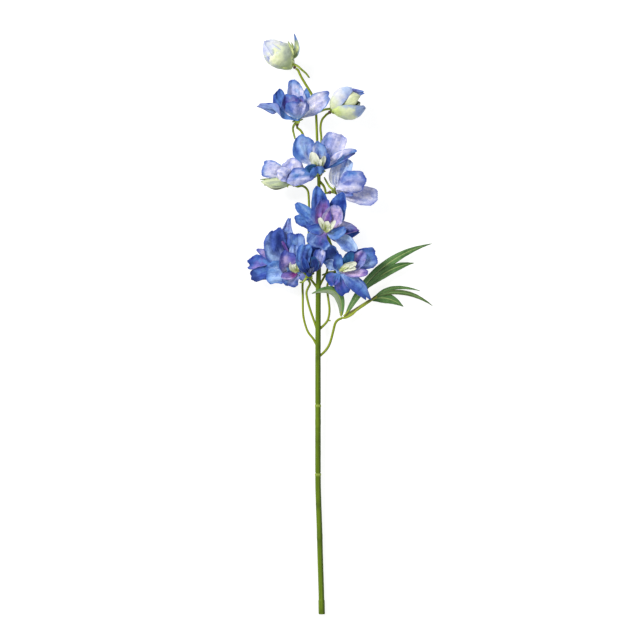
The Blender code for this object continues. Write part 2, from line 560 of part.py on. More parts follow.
def bee(head):
    """Cream tuft in the middle of a bloom: a fluted crown with four upright lobes."""
    foot = along_axis(head, BEE_AT)
    run = Vector(head.hub) + Vector(head.bee) - foot
    axis = Vector(head.axis).normalized()
    across = axis.orthogonal()
    shell = bmesh.new()
    rings = []
    for share, radius, flute in BEE_PROFILE:
        around = axis.lerp(run.normalized(), share).normalized()
        across = (across - around * across.dot(around)).normalized()
        ring = []
        for side in range(BEE_SIDES):
            out = Quaternion(around, 2 * math.pi * side / BEE_SIDES) @ across
            lobe = 1 if side % 2 == 0 else 1 - flute
            rise = run * share * (1 if side % 2 == 0 else 1 - BEE_LOBE_DROP * flute)
            ring.append(shell.verts.new(foot + rise + out * head.bee_radius * radius * lobe))
        rings.append(ring)
    for lower, upper in zip(rings, rings[1:]):
        for side in range(BEE_SIDES):
            after = (side + 1) % BEE_SIDES
            shell.faces.new((lower[side], lower[after], upper[after]))
            shell.faces.new((lower[side], upper[after], upper[side]))
    shell.faces.new(list(reversed(rings[0])))
    middle = shell.verts.new(foot + run * BEE_HOLLOW_AT)
    for side in range(BEE_SIDES):
        shell.faces.new((rings[-1][side], rings[-1][(side + 1) % BEE_SIDES], middle))
    return fused(head.name + "_bee", [shell], material(head.name + "_cream", BEE_CREAM, 0.9))


def flower_head(head):
    """Every piece of one bloom or bud."""
    collar(head)
    calyx(head)
    petal_layer(head, "outer_petals", head.outer, 0.0, OUTER_DISC_RADIUS, head.outer_colour)
    petal_layer(head, "inner_petals", head.inner, INNER_DISC_AT, INNER_DISC_RADIUS,
                head.inner_colour)
    if head.bee_radius:
        bee(head)


def leaf(row):
    """One leaf: its stalk and its pointed lobes, fused."""
    run = smooth_run(row.stalk, 2)
    shells = [tube(run, [row.stalk_radius] * len(run), STALK_SIDES)]
    hub = Vector(row.hub)
    upward = Vector((0.0, 0.0, 1.0))
    for lobe in row.lobes:
        shells.append(blade_solid(hub, hub, upward, lobe, LEAF_THICKNESS, 7, 2))
    return fused(row.name, shells, material(row.name + "_green", LEAF_GREEN, 0.7))


def main():
    for old in list(bpy.data.objects):
        bpy.data.objects.remove(old, do_unlink=True)
    stem_with_stalks()
    for row in LEAVES:
        leaf(row)
    for head in HEADS:
        flower_head(head)


main()
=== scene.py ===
"""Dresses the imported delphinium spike: cloth blooms, buds and leaves on a moulded stem."""

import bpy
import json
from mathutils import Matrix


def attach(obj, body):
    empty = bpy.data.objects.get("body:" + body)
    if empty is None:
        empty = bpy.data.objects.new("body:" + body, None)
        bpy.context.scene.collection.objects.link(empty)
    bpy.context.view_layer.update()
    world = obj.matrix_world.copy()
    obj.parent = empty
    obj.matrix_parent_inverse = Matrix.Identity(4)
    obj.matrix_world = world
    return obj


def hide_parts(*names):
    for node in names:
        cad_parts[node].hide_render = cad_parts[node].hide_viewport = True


bl_info = {
    "name": "Delphinium Spike",
    "version": (1, 0, 0),
    "blender": (4, 5, 0),
    "location": "3D View > Sidebar > Delphinium",
    "description": "Makes a delphinium spike of cloth petals on a moulded stem",
    "category": "Object",
}

import json
import math
from collections import namedtuple

import bpy
import numpy as np
from mathutils import Vector

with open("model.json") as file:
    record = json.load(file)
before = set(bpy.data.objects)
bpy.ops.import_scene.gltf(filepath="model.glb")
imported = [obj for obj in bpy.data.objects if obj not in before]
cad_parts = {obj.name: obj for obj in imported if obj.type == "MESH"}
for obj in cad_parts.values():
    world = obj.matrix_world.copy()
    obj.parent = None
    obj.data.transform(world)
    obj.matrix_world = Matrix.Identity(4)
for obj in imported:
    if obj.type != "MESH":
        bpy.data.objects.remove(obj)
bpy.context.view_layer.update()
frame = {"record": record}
SLOTS = {part["node"]: part["material_slot"] for part in frame["record"]["subparts"]}

# The tables are in millimetres on the stem's own measure: Y runs up the stem from the middle of
# its cut end, X to the right of it as seen from above, and Z up from the surface it lies on.
MM = 0.001
MEASURE_ORIGIN = np.array((21.9, 305.0, 0.0))
UP = np.array((0.0, 0.0, 1.0))
RIGHT = np.array((1.0, 0.0, 0.0))
# Side towards which the first edge of a turned form lies
SEAM_SIDE = np.array((0.3, 0.2, 1.0))

# Main stem: its run and radius, its sleeve at the cut end and its moulded joint rings
STEM_RUN = [(1.9, 0), (1.3, 26), (0.3, 58), (-0.5, 89), (-1.6, 121), (-2.1, 147), (-2.1, 220),
            (-2.1, 278), (-1.8, 341), (-1.4, 362), (-0.8, 404), (-1.0, 440), (-1.5, 461),
            (-3.0, 498), (-4.2, 527), (-6.3, 537.6), (-8.9, 547), (-14.7, 556.5), (-20.0, 565.5)]
STEM_RADIUS = [(0, 3.0), (220, 2.95), (300, 2.85), (341, 2.7), (404, 2.1), (461, 1.65),
               (498, 1.35), (547, 1.28), (600, 1.28)]
STEM_SEAT = 3.45
STEM_RISE = 11.0
STEM_RISE_AT = 346.0
STEM_RISE_POWER = 1.4
# Swellings of the main stem: place, half length, height and how sharply each one ends
STEM_SWELLS = [(7.4, 7.4, 0.38, 0.5), (147.0, 1.0, 0.36, 0.5), (219.5, 1.0, 0.36, 0.5),
               (202.5, 2.2, 0.12, 1.5), (82.0, 2.0, 0.12, 1.5)]
# Narrow notches just above the joint rings: place, half length and depth
STEM_NOTCHES = [(148.9, 0.9, 0.4), (221.4, 0.9, 0.4)]
STEM_JOINTS = [147.0, 219.5]
STEM_CHAMFER = 0.35
STEM_STEP = 0.75
STALK_RADIUS = 1.22
STALK_STEP = 1.5
# Swelling of a stalk where it leaves the stem and at its head: share of its radius and reach
STALK_FOOT_SWELL = 0.5
STALK_FOOT_REACH = 4.0
STALK_END_SWELL = 0.12
STALK_END_REACH = 2.5
# Half length of the pale colour at a joint ring
JOINT_FADE = 1.2
# Side of the stem and stalks that is painted darker, as painted shade away from the key lamp
SHADE_SIDE_FROM = (1.0, 0.0, -0.12)
# Rods: their sides, and the depth in millimetres and the fineness of their unevenness
STEM_ROD = (28, 0.16, 160.0)
STALK_ROD = (14, 0.12, 300.0)
PETIOLE_ROD = (12, 0.1, 300.0)
SPUR_ROD = (14, 0.14, 300.0)

# Turned forms: how many sides they have, and the height and the number of their soft ridges
DISC_TURNING = (20, 0.05, 7)
CUP_TURNING = (40, 0.07, 5)
BEAD_TURNING = (28, 0.03, 5)
HEART_TURNING = (14, 0.0, 0)

# Stack along a bloom's axis, measured from the middle of its outer petals
NODE_GAP = 0.3
DISC_HALF = 0.8
OUTER_DISC_RADIUS = 3.4
INNER_DISC_RADIUS = 2.6
# Profile of a disc: places from its middle, and shares of its radius there
DISC_PROFILE = [(-DISC_HALF, 0.55), (-0.4, 0.85), (0, 0.95), (0.4, 0.8), (DISC_HALF, 0.4)]
ROOT_SHARE = 0.78
ROOT_HOLD = 0.4
INNER_DISC_AT = 2 * DISC_HALF + NODE_GAP
BEE_AT = INNER_DISC_AT + DISC_HALF + NODE_GAP
CALYX_TOP = -(DISC_HALF + NODE_GAP)
CALYX_HEIGHT = 5.2
CALYX_RADIUS = 3.8
CALYX_NECK = 1.5
CALYX_BELLY = 2.6
# Profile of a cup: shares of its height, and its radii there
CALYX_PROFILE = [(0, CALYX_NECK), (0.2, CALYX_NECK * 1.25), (0.58, CALYX_BELLY),
                 (0.9, CALYX_RADIUS), (1.0, CALYX_RADIUS * 0.9)]
CUP_RINGS = 15
BEAD_RINGS = 13
# Lobes of a cup: those of a bloom, and the longer ones that hug a bud from its foot
BLOOM_LOBE = 3.2
BUD_LOBES = {"bud_1": 8.0, "bud_3": 5.0}
LOBES = 5
FIRST_LOBE_TURN = 20.0
LOBE_LEAN = 82.0
# Feet of a bloom's lobes: share of the cup's radius there, and depth below its top
LOBE_FOOT_SHARE = 0.86
LOBE_FOOT_DEPTH = 0.9
# Feet of the lobes that hug a bud: radius there, height above the cup's foot, and the length
# over which a lobe spreads by as much
HUG_RADIUS = 2.3
HUG_RISE = 0.3
HUG_SPREAD = 3.0
LOBE_HALF_WIDTH = 1.9
LOBE_TIP_HALF_WIDTH = 0.08
LOBE_THICKNESS = 0.35
SPUR_AT = 2.6
SPUR_RADIUS = 1.3
SPUR_TAPER = 0.35
SPUR_STEP = 0.9
# Shares of its radius that a spur keeps at its last points
SPUR_TIP = (0.95, 0.8, 0.45)
COLLAR_TOP = CALYX_TOP - CALYX_HEIGHT - NODE_GAP
COLLAR_HEIGHT = 2.9
COLLAR_RADIUS = 1.9
COLLAR_END_RADIUS = 0.25
STALK_TOP = COLLAR_TOP - COLLAR_HEIGHT - NODE_GAP
STALK_APPROACH = 3.0

# Outline of a blade as shares of its full width and length: the width at its root, the place
# where it is widest, the width of its tip and how far the tip's corners fall back. Turn is how
# far its outer part is twisted over, in degrees. Neck is the power of its growth from the root,
# so that more of it keeps the root narrow for longer.
Outline = namedtuple("Outline", "root widest tip fall turn neck", defaults=(0, 1.0))
OUTLINES = {
    "broad": Outline(0.24, 0.60, 0.80, 0.17, 0, 1.1),
    "square": Outline(0.24, 0.64, 0.92, 0.11, 0, 1.3),
    "claw": Outline(0.18, 0.66, 0.80, 0.16, 0, 1.2),
    "round": Outline(0.26, 0.60, 0.80, 0.20, 0, 1.4),
    "spoon": Outline(0.22, 0.68, 0.88, 0.19, 0, 3.0),
    "spear": Outline(0.24, 0.60, 0.50, 0.14, 0, 1.2),
    "peak": Outline(0.34, 0.60, 0.72, 0.15, 0, 1.0),
    "point": Outline(0.30, 0.54, 0.30, 0.14),
    "twist": Outline(0.50, 0.62, 0.56, 0.24, 150),
    "sliver": Outline(0.40, 0.60, 0.60, 0.16),
    "lance": Outline(0.45, 0.45, 0.16, 0.04),
    "blunt": Outline(0.28, 0.52, 0.62, 0.17),
    "wing": Outline(0.80, 0.30, 0.55, 0.02),
    "leaf": Outline(0.28, 0.42, 0.05, 0.01),
}
TWIST_FROM = 0.35
TWIST_TO = 0.85
RUFFLE_ALONG = 7.0
RUFFLE_ACROSS = 2.0
# Free edge of the cloth: how deep its tip is frilled, nicked and notched and how far it leans,
# as shares of the blade's length, and how deep its sides waver and are nicked, of its width
TIP_FRILL = 0.034
TIP_NICKS = 0.011
TIP_NOTCH = 0.035
TIP_NOTCH_REACH = 0.25
TIP_LEAN = 0.08
TIP_ROUNDING = 2.7
SIDE_WAVER = 0.075
SIDE_NICKS = 0.02
# Relief of the cloth: its soft folds, pinches and bend as shares of the blade's width, its
# pressed middle crease in millimetres, and how much of the edges' lift it takes
FOLD_DEPTH = 0.026
PINCH_DEPTH = 0.05
BEND_DEPTH = 0.055
CREASE_DEPTH = 0.35
CREASE_REACH = 0.07
EDGE_LIFT = 0.7
WRINKLES = 8
FLATTEST_CUP = 0.01
# Petals that wrap a bud: depth of their pleats and how far each one's foot stands out
PLEAT_DEPTH = 0.24
SHELL_FOOT = 1.2

# Rows and columns of the grids that the cloth is made on, and the widest petal on a small one
PETAL_GRID = (50, 34)
SMALL_PETAL_GRID = (38, 22)
SMALL_PETAL = 12
SHELL_GRID = (48, 44)
LEAF_GRID = (72, 19)
LOBE_GRID = (12, 9)
TUFT_GRID = (26, 18)
# How frayed the cloth is, from 0 to 1
PETAL_FRAY = 1.0
SMALL_PETAL_FRAY = 0.6
LEAF_FRAY = 0.35
TUFT_FRAY = 0.6
# Depth of the wrinkles in millimetres
LEAF_CRUMPLE = 0.05
TUFT_CRUMPLE = 0.06

# Dyes of a petal: at its throat, over its body, at its rim and in its blots, and for some petals
# also on the left and the right side of the body, as seen along the petal from its root
PAINTS = {
    "sepal_blue_tip": "sage pale_green azure sky",
    "sepal": "sage pale_green moss sage",
    "azure_royal": "azure azure royal azure",
    "deep_azure": "sky azure ultramarine royal royal azure",
    "lilac_mist": "sky mist azure sky periwinkle lilac",
    "azure": "sky azure azure sky",
    "pale_lilac": "ice lilac azure ice",
    "violet_azure": "ice violet azure periwinkle",
    "azure_to_periwinkle": "sky periwinkle royal periwinkle azure periwinkle",
    "violet_front": "lilac lilac periwinkle periwinkle",
    "dusk_violet": "violet periwinkle azure violet",
    "ice_sky": "ice sky azure periwinkle azure sky",
    "sky_to_lilac": "sky periwinkle lilac lilac sky lilac",
    "curled_band": "lilac periwinkle azure lilac lilac azure",
    "azure_violet": "azure azure ultramarine violet violet azure",
    "cream_sky": "cream sky azure periwinkle lilac sky",
    "teal_azure": "navy teal azure azure",
    "teal_sky": "teal azure azure sky",
    "navy": "navy ultramarine royal navy",
    "soft_lilac": "periwinkle lilac periwinkle lilac",
    "sheet_lilac": "periwinkle mist lilac lilac lilac mist",
    "periwinkle_fold": "mist azure royal mist azure lilac",
    "ice_pearl": "ice ice lilac pearl",
    "bright_sky": "ice bright sky ice",
    "rimmed_mist": "lilac periwinkle royal mist azure lilac",
    "pale_periwinkle": "lilac lilac mist ice",
    "periwinkle": "lilac periwinkle azure sky",
    "dark_royal": "periwinkle royal azure royal royal ultramarine",
    "violet_navy": "violet ultramarine navy violet",
    "plum_rimmed": "periwinkle periwinkle plum periwinkle lilac navy",
    "clear_sky": "bright sky bright sky",
    "plum_royal": "plum plum royal violet",
    "pink_lilac": "pink pink lilac plum",
    "lens_azure": "periwinkle azure royal royal royal ultramarine",
    "violet_sky": "violet violet sky ultramarine azure sky",
    "royal_to_navy": "bright royal royal navy sky navy",
    "magenta_slit": "navy plum navy magenta navy plum",
    "ice_azure": "white azure royal sky royal sky",
    "royal_navy": "azure royal navy royal navy azure",
    "violet_pink": "pink pink royal violet",
    "ultra_rimmed": "periwinkle periwinkle ultramarine azure",
    "sky_azure": "azure sky azure bright sky azure",
    "white_violet": "white pink royal pink violet violet",
    "magenta_plum": "magenta violet violet plum pink violet",
    "pale_foot": "cream bright sky bright",
    "navy_azure": "navy royal azure azure azure navy",
    "royal_periwinkle": "violet periwinkle royal lilac royal periwinkle",
    "dark_teal": "navy navy teal navy",
    "blotched_royal": "sky royal azure azure azure royal",
    "teal_deep": "teal teal navy teal_blue",
    "rimmed_royal": "periwinkle azure royal periwinkle azure sky",
    "royal_ultra": "azure royal ultramarine violet",
    "ice_royal": "sky azure ultramarine royal sky royal",
    "azure_ultra": "azure azure ultramarine azure royal azure",
    "cream_violet": "cream violet periwinkle plum pink periwinkle",
    "pink_violet": "pink pink violet plum",
    "bud_frill": "leek pale_leek mist lilac",
    "bud_tip": "leek pale_leek pearl lilac",
    "bud_skin": "leek pale_leek white white",
    "bud_green": "sage pale_green pale_green cream",
    "bud_white": "pale_leek pearl sky lilac",
    "bud_patched": "leek pale_leek azure lilac",
    "bud_shade": "moss sage sage pale_leek",
}

# A blade runs from its root through mid to its tip, both measured from its hub. Cup is the bend
# across it, in radians. Shape and paint name its outline and its dyes, and ruffle is how deep its
# edges wave, in millimetres. Skew is how far its tip leans to the left of its run, as a share of
# its length, and roll turns it about its run, in degrees from facing up.
Blade = namedtuple("Blade", "mid tip width cup shape ruffle paint skew roll", defaults=(0.0, 0.0))

# Change of a dye where the cloth took less of it, also used for painted highlight on the petals
THIN_DYE_AND_HIGHLIGHT = (1.42, 1.34, 1.16)

# Edges sharper than this many degrees are kept crisp
SHARP_ANGLE = 50.0
PETAL_SEED = 311
LEAF_SEED = 57
BEE_SEED = 83

# Camera straight above the spike, in metres
CAMERA_HEIGHT = 8.0
VIEW_PLANE = 0.024
VIEW_CENTRE = (-0.0219, 0.00475)

# Studio lamps: place, width, power and colour
STUDIO_LAMPS = [("key", (-1.6, 1.3, 1.9), 1.1, 74.0, (1.0, 0.985, 0.96)),
                ("fill", (1.5, -0.9, 1.8), 1.6, 17.0, (0.96, 0.98, 1.0))]
LAMP_AIM = (0.0, 0.1, 0.0)
SKY_STRENGTH = 0.36

# Floor: its white paper's darkest and lightest shade and glow
PAPER_SHADES = (0.30, 0.31)
PAPER_GLOWS = (0.97, 0.99)
PAPER_GLOW_STRENGTH = 0.85
PAPER_ROUGHNESS = 0.9

# Spur holds the points of a cup's spur, and bee the tip of the tuft in the middle of a bloom,
# which a bud lacks, both measured from the head's hub
Head = namedtuple("Head", "name hub axis outer inner spur bee bee_radius", defaults=(None, 0))

HEADS = [
    Head("bud_1", (-33, 580, 26), (-0.76, 0.60, 0.10),
         [Blade((8.5, 13, 1), (6, 30, 1), 7, 0.5, "lance", 0.3, "sepal_blue_tip", roll=-15),
          Blade((3.5, 11, 8), (-1, 22.5, 9.5), 4, 0.3, "lance", 0, "sepal"),
          Blade((5, 11, -3), (3, 21.5, -3), 4, 0.3, "lance", 0, "sepal"),
          Blade((-1.5, -1, 9), (-6, 3.5, 12.5), 5, -0.5, "lance", 0.3, "sepal"),
          Blade((-2.5, -4.5, 6.5), (-8, -4.5, 9.5), 5, -0.5, "lance", 0.3, "sepal"),
          Blade((3, 3, 7), (1.5, 9, 10), 4.5, -0.5, "lance", 0.3, "sepal")],
         [],
         [(5.8, -2.1, 2), (10, -4.2, 3), (14.2, -7.9, 3), (18.4, -11.6, 3), (22, -16.3, 2)]),
    Head("bloom_2", (-24, 521, 27), (0.0, 0.72, 0.69),
         [Blade((-20, 9, 4), (-42.5, 14.5, 1), 14.5, 0.3, "twist", 0.4, "azure_royal"),
          Blade((-16, 15, -4), (-21.5, 29.5, -2), 18, 0.5, "peak", 1.2, "deep_azure", -0.12),
          Blade((-0.5, 20, -2.5), (-1, 40.5, -3), 21.5, 0.3, "peak", 0.7, "lilac_mist", 0.14),
          Blade((8.5, 17, -2), (9.5, 32, -3), 8.5, 0.3, "round", 0.3, "azure"),
          Blade((17.5, 14, 2), (34.5, 24.5, 3), 20, 0.3, "round", 0.5, "pale_lilac", 0.03)],
         [Blade((-6, 12.5, 6.5), (-7, 26, 9), 20, 0.3, "claw", 0.4, "violet_azure"),
          Blade((3, 12.5, 5.5), (3.5, 24, 7.5), 9.5, 0.4, "round", 0.3, "violet_azure"),
          Blade((0, 7, 13), (0, 17, 22.5), 28.5, -0.75, "claw", 0.8, "azure_to_periwinkle"),
          Blade((2.5, 9, 15), (6.5, 16.5, 23), 11.5, 0.6, "claw", 0.5, "violet_front", -0.1)],
         [(-3.7, -7.4, -4), (-4.4, -11.6, -6), (-3.2, -16.8, -7), (-2.1, -21.5, -8)],
         (5, 16, 15), 2.2),
    Head("bud_3", (16.5, 532, 25), (0.78, 0.52, 0.33),
         [Blade((14, 12.5, -2), (30.5, 16.5, 1), 15, -0.5, "point", 0.5, "dusk_violet")],
         [],
         [(-5.8, -0.7, 1), (-11, -1.3, 2), (-16.3, -3.4, 2), (-20.5, -4.9, 2), (-24.7, -7.6, 1)]),
    Head("bloom_4", (0, 467, 31), (0.05, 0.60, 0.80),
         [Blade((-15.5, 18, 0), (-16.5, 37, 1), 24.5, 0.3, "spoon", 0.7, "ice_sky", -0.05),
          Blade((11, 20.5, 0), (19, 39.5, 1), 25.5, 0.3, "square", 1.0, "sky_to_lilac"),
          Blade((20, 15.5, 3.5), (38.5, 20, 4), 9.5, -0.6, "blunt", 0.4, "curled_band"),
          Blade((20.5, 11, 1), (37.5, 18, 1.5), 9, -0.5, "point", 0.4, "azure_violet")],
         [Blade((-1, 14.5, 5.5), (0, 30, 9), 18.5, 0.3, "round", 0.4, "cream_sky"),
          Blade((-7.5, 1, 7), (-16, 1, 11), 10.5, 0.5, "broad", 0.4, "teal_azure"),
          Blade((-2.5, -4, 7), (-3, 4, 14), 18, -0.4, "broad", 0.3, "teal_sky"),
          Blade((7.5, 6.5, 7), (8.5, 17, 10.5), 6, 0.4, "round", 0.4, "navy")],
         [(-3, -5, -4), (-6, -7.4, -4), (-8.4, -8.2, -4)],
         (-3, 10, 12), 3.7),
    Head("bud_5", (-34.5, 454.5, 24), (-0.86, 0.36, 0.36),
         [Blade((-12, 2, -2), (-28.5, 3, -1), 4.5, -0.4, "lance", 0.2, "sepal")],
         [Blade((-12, 11.5, 3.5), (-27.5, 15, 2), 19, -0.4, "square", 0.6, "pale_lilac"),
          Blade((6, 13, 2), (11.5, 24, 1), 24, -0.4, "broad", 0.7, "soft_lilac"),
          Blade((-3.5, 7.5, 6.5), (-11, 9.5, 6.5), 17, -0.3, "peak", 0.5, "sheet_lilac"),
          Blade((9.5, 5.5, 6), (28.5, 6, 5), 20, -0.4, "peak", 1.0, "periwinkle_fold", 0.06)],
         [(4, -0.5, -4), (8, 1, -5), (12, 0, -5)]),
    Head("bloom_6", (18, 445.5, 23), (0.93, 0.20, 0.30),
         [Blade((-3, 16.5, 3), (3, 32.5, 3), 11.5, -0.3, "round", 0.4, "ice_pearl", roll=5),
          Blade((7.5, 19.5, 1), (11, 33.5, 1), 14.5, 0.2, "square", 0.4, "bright_sky", roll=-12),
          Blade((12.5, 9, 9), (29.5, 7.5, 11), 25, -0.5, "square", 1.0, "rimmed_mist"),
          Blade((21, -4.5, -1), (42.5, -7, -1.5), 20, 0.3, "square", 0.9, "pale_periwinkle"),
          Blade((10.5, -3.5, -6), (25, -11.5, -8), 7.5, 0.4, "round", 0.5, "pale_periwinkle")],
         [Blade((9.5, -3, 3), (16.5, -4, 3.5), 6, 0.3, "round", 0.2, "periwinkle"),
          Blade((9.5, 3.5, 1), (16, 5, 1), 6, 0.3, "round", 0.2, "periwinkle")],
         [(-4, 1, 4), (-8.4, 4.7, 5), (-13.7, 14.2, 3)],
         (9, 1.6, 4.5), 1.1),
    Head("bloom_7", (6.5, 401, 29), (0.0, 0.25, 0.97),
         [Blade((-4.5, 22, 3), (-5.5, 46, 5), 24, 0.4, "peak", 0.9, "dark_royal", 0.16),
          Blade((9, 20, 3), (11.5, 41, 6), 23, 0.4, "peak", 0.6, "dark_royal", -0.14),
          Blade((-17, 18, 3), (-33, 30.5, 2), 13.5, 0.4, "round", 0.4, "azure"),
          Blade((-17.5, 11.5, 1), (-33, 14.5, 0), 16.5, -0.5, "round", 0.5, "deep_azure"),
          Blade((17, -2, 0), (34.5, 1.5, -0.5), 17, -0.4, "point", 0.4, "violet_navy", roll=10),
          Blade((17, 5, 3), (35, 3, 1), 16, 0.4, "point", 0.4, "plum_rimmed", roll=-10),
          Blade((21, -9.5, -1), (26.5, -20.5, -2), 16.5, 0.3, "square", 0.6, "clear_sky", roll=15)],
         [Blade((-3.5, 18.5, 8), (-0.5, 34.8, 13), 19.5, 0.6, "round", 0.4, "plum_royal"),
          Blade((7, 17, 7.5), (9.5, 29.5, 12), 22.5, 0.6, "round", 0.4, "pink_lilac"),
          Blade((-8.5, 4, 6), (-20, 3.5, 8), 12, 0.5, "round", 0.3, "lens_azure"),
          Blade((10, -1, 6), (20.5, 6, 7), 12, 0.4, "round", 0.3, "azure"),
          Blade((-7, -6.5, 5), (-10.5, -15.5, 3), 26, 0.3, "square", 0.5, "violet_sky")],
         [(3, -5.5, -5), (4.5, -11, -7), (4, -16, -7)],
         (0, 8.5, 11), 3.8),
    Head("bloom_8", (-22, 360, 17), (-0.35, 0.25, 0.90),
         [Blade((-23, 21, 3), (-23.5, 46, 6), 26, 0.3, "broad", 1.2, "royal_to_navy", -0.08),
          Blade((-11.5, 30, 0), (-10, 56.5, -3), 20, 0.3, "point", 0.4, "periwinkle"),
          Blade((-14.2, 24.5, 7.5), (-16.8, 33, 8.5), 4.5, 0.3, "sliver", 0.2, "magenta_slit"),
          Blade((-3, 22, 3), (-3, 42, 6), 20, 0.3, "square", 0.8, "ice_azure"),
          Blade((-28.5, 9, -4), (-53.5, 10.5, -16.2), 18, 0.4, "square", 0.8, "azure_violet"),
          Blade((-28.5, 0.5, 1), (-51, -5.5, -6), 15.5, 0.4, "square", 1.0, "royal_navy"),
          Blade((-24, 13.5, 1), (-44, 24, 0), 10.5, 0.4, "round", 0.3, "violet_pink"),
          Blade((-7, -6, 4.5), (-13, -13.5, 6), 19, 0.2, "square", 0.8, "ultra_rimmed", roll=-12),
          Blade((4.5, -2.5, 3), (10.5, -6.5, 3.5), 13.5, -0.3, "broad", 0.6, "ultra_rimmed",
                roll=-10)],
         [Blade((-18, 0.5, 6), (-35, -2.5, 5), 25, 0.4, "square", 0.9, "sky_azure"),
          Blade((-10.5, 8.5, 9), (-10, 23, 13), 22, 0.5, "broad", 0.5, "white_violet"),
          Blade((-10.5, -4, 8), (-19, -3, 10), 8.5, 0.5, "round", 0.2, "magenta_plum"),
          Blade((-3.5, 15, 6.5), (-4, 29.5, 7.5), 14.5, 0.3, "round", 0.4, "pale_foot")],
         [(-1, -6, -7), (-3, -12, -9), (-6, -16, -9)],
         (-2.5, 8.5, 8), 2.3),
    Head("bloom_9", (-11.5, 358, 25), (0.10, 0.40, 0.90),
         [Blade((-6.5, 13.5, 3), (-1.5, 32, 3), 16, 0.5, "square", 0.8, "navy_azure"),
          Blade((3, 16, 0), (5.5, 30, 0), 18, 0.3, "square", 0.6, "navy"),
          Blade((9, 12.5, 3), (11.5, 27.5, 4), 13, 0.5, "square", 0.7, "royal_periwinkle")],
         [Blade((6, 9.5, 6), (3.5, 18.5, 9), 9.5, 0.5, "round", 0.2, "dark_teal"),
          Blade((-3.5, 8.5, 7), (-6, 17, 9), 7.5, 0.5, "round", 0.2, "navy")],
         [(-3, -4, -3), (-6, -8, -3), (-10, -9, -2)],
         (1.5, 5, 7), 1.9),
    Head("bloom_10", (20, 361, 20), (0.25, 0.10, 0.96),
         [Blade((-9.5, 15, 3), (-12, 28.5, 6), 20, 0.4, "square", 1.0, "blotched_royal"),
          Blade((-8, 6.5, 3.5), (-14.5, 6, 3), 12.5, 0.4, "round", 0.3, "clear_sky"),
          Blade((9, 9.5, 8.5), (9.5, 21.5, 12.5), 13.5, 0.4, "broad", 0.3, "teal_deep", -0.1),
          Blade((20, 11, 2), (40.5, 14.5, 2), 23, 0.3, "square", 1.2, "rimmed_royal", 0.03),
          Blade((-4.5, -6.5, 0), (-13, -10.5, -2), 14.5, 0.4, "square", 0.6, "royal_ultra"),
          Blade((1.5, -10.5, 0), (6, -24.5, -4), 16.5, 0.4, "square", 0.9, "royal_ultra"),
          Blade((16.5, -12.5, 2), (31, -30.5, -5), 16.5, 0.4, "spear", 0.7, "ice_royal", 0.04)],
         [Blade((-1, 7.5, 8), (0, 19, 12), 11.5, 0.6, "round", 0.2, "azure_ultra"),
          Blade((17.5, 9, 6.5), (27, 21, 8.5), 16, 0.5, "round", 0.4, "cream_violet"),
          Blade((16, -1.5, 6), (31, -1.5, 7), 10.5, 0.4, "round", 0.3, "pink_violet")],
         [(-4, -1, -4), (-10, -1, -5), (-15, -3, -5), (-18, -4.2, -4)],
         (14, 5, 14), 3),
]

# Petals that wrap a bud: foot and tip of the bud from its hub, its radius, the way the petal
# faces about that line in degrees from up, how far it wraps, how far it stands open, how
# strongly its edge is frilled, its dyes and how far towards the tip it is widest
Shell = namedtuple("Shell", "foot tip radius turn spread opening frill paint swell",
                   defaults=(1.25,))
SHELLS = {
    "bud_1_inner": [
        Shell((3, -6.5, 0), (-23, 20.5, 3), 13.2, 180, 300, 0.0, 0.6, "bud_frill", 1.5),
        Shell((3, -6.5, 0), (-26, 19.5, 3), 13.6, 72, 190, 0.12, 1.6, "bud_tip", 1.5),
        Shell((3, -6.5, 0), (-22, 24, 3), 13.9, -62, 165, 0.10, 1.2, "bud_frill", 1.5),
        Shell((3, -6.5, 0), (-18.5, 19, 3.5), 14.4, 10, 185, 0.06, 0.5, "bud_skin", 1.35)],
    "bud_3_outer": [
        Shell((-3.5, -1, 0), (20.5, 7.5, 5.5), 12.2, 178, 200, 0.0, 0.4, "bud_green"),
        Shell((-4.8, -0.5, 0), (19.5, 18.5, 7), 12.0, -62, 165, 0.26, 0.5, "bud_white", 1.1),
        Shell((-4, -1.5, 0), (31, 3.5, 7), 13.0, 62, 150, 0.08, 0.8, "bud_patched", 1.15)],
    "bud_3_inner": [
        Shell((0, 0, 0), (26.5, 12.5, 8), 10.5, -28, 150, 0.0, 0.2, "bud_green"),
        Shell((0, 0, 0), (25.5, 7, 5), 9.5, 120, 200, 0.0, 0.2, "bud_green")],
    "bud_5_outer": [
        Shell((3, -1, 0), (-24, -2, -1), 5.8, 175, 200, 0.0, 0.2, "sepal"),
        Shell((3, -1, 0), (-24.5, -4, 0), 6.7, 60, 150, 0.0, 0.2, "bud_shade"),
        Shell((3, -1, 0), (-27.5, 1.5, 0), 6.7, -45, 140, 0.0, 0.2, "bud_green")],
}

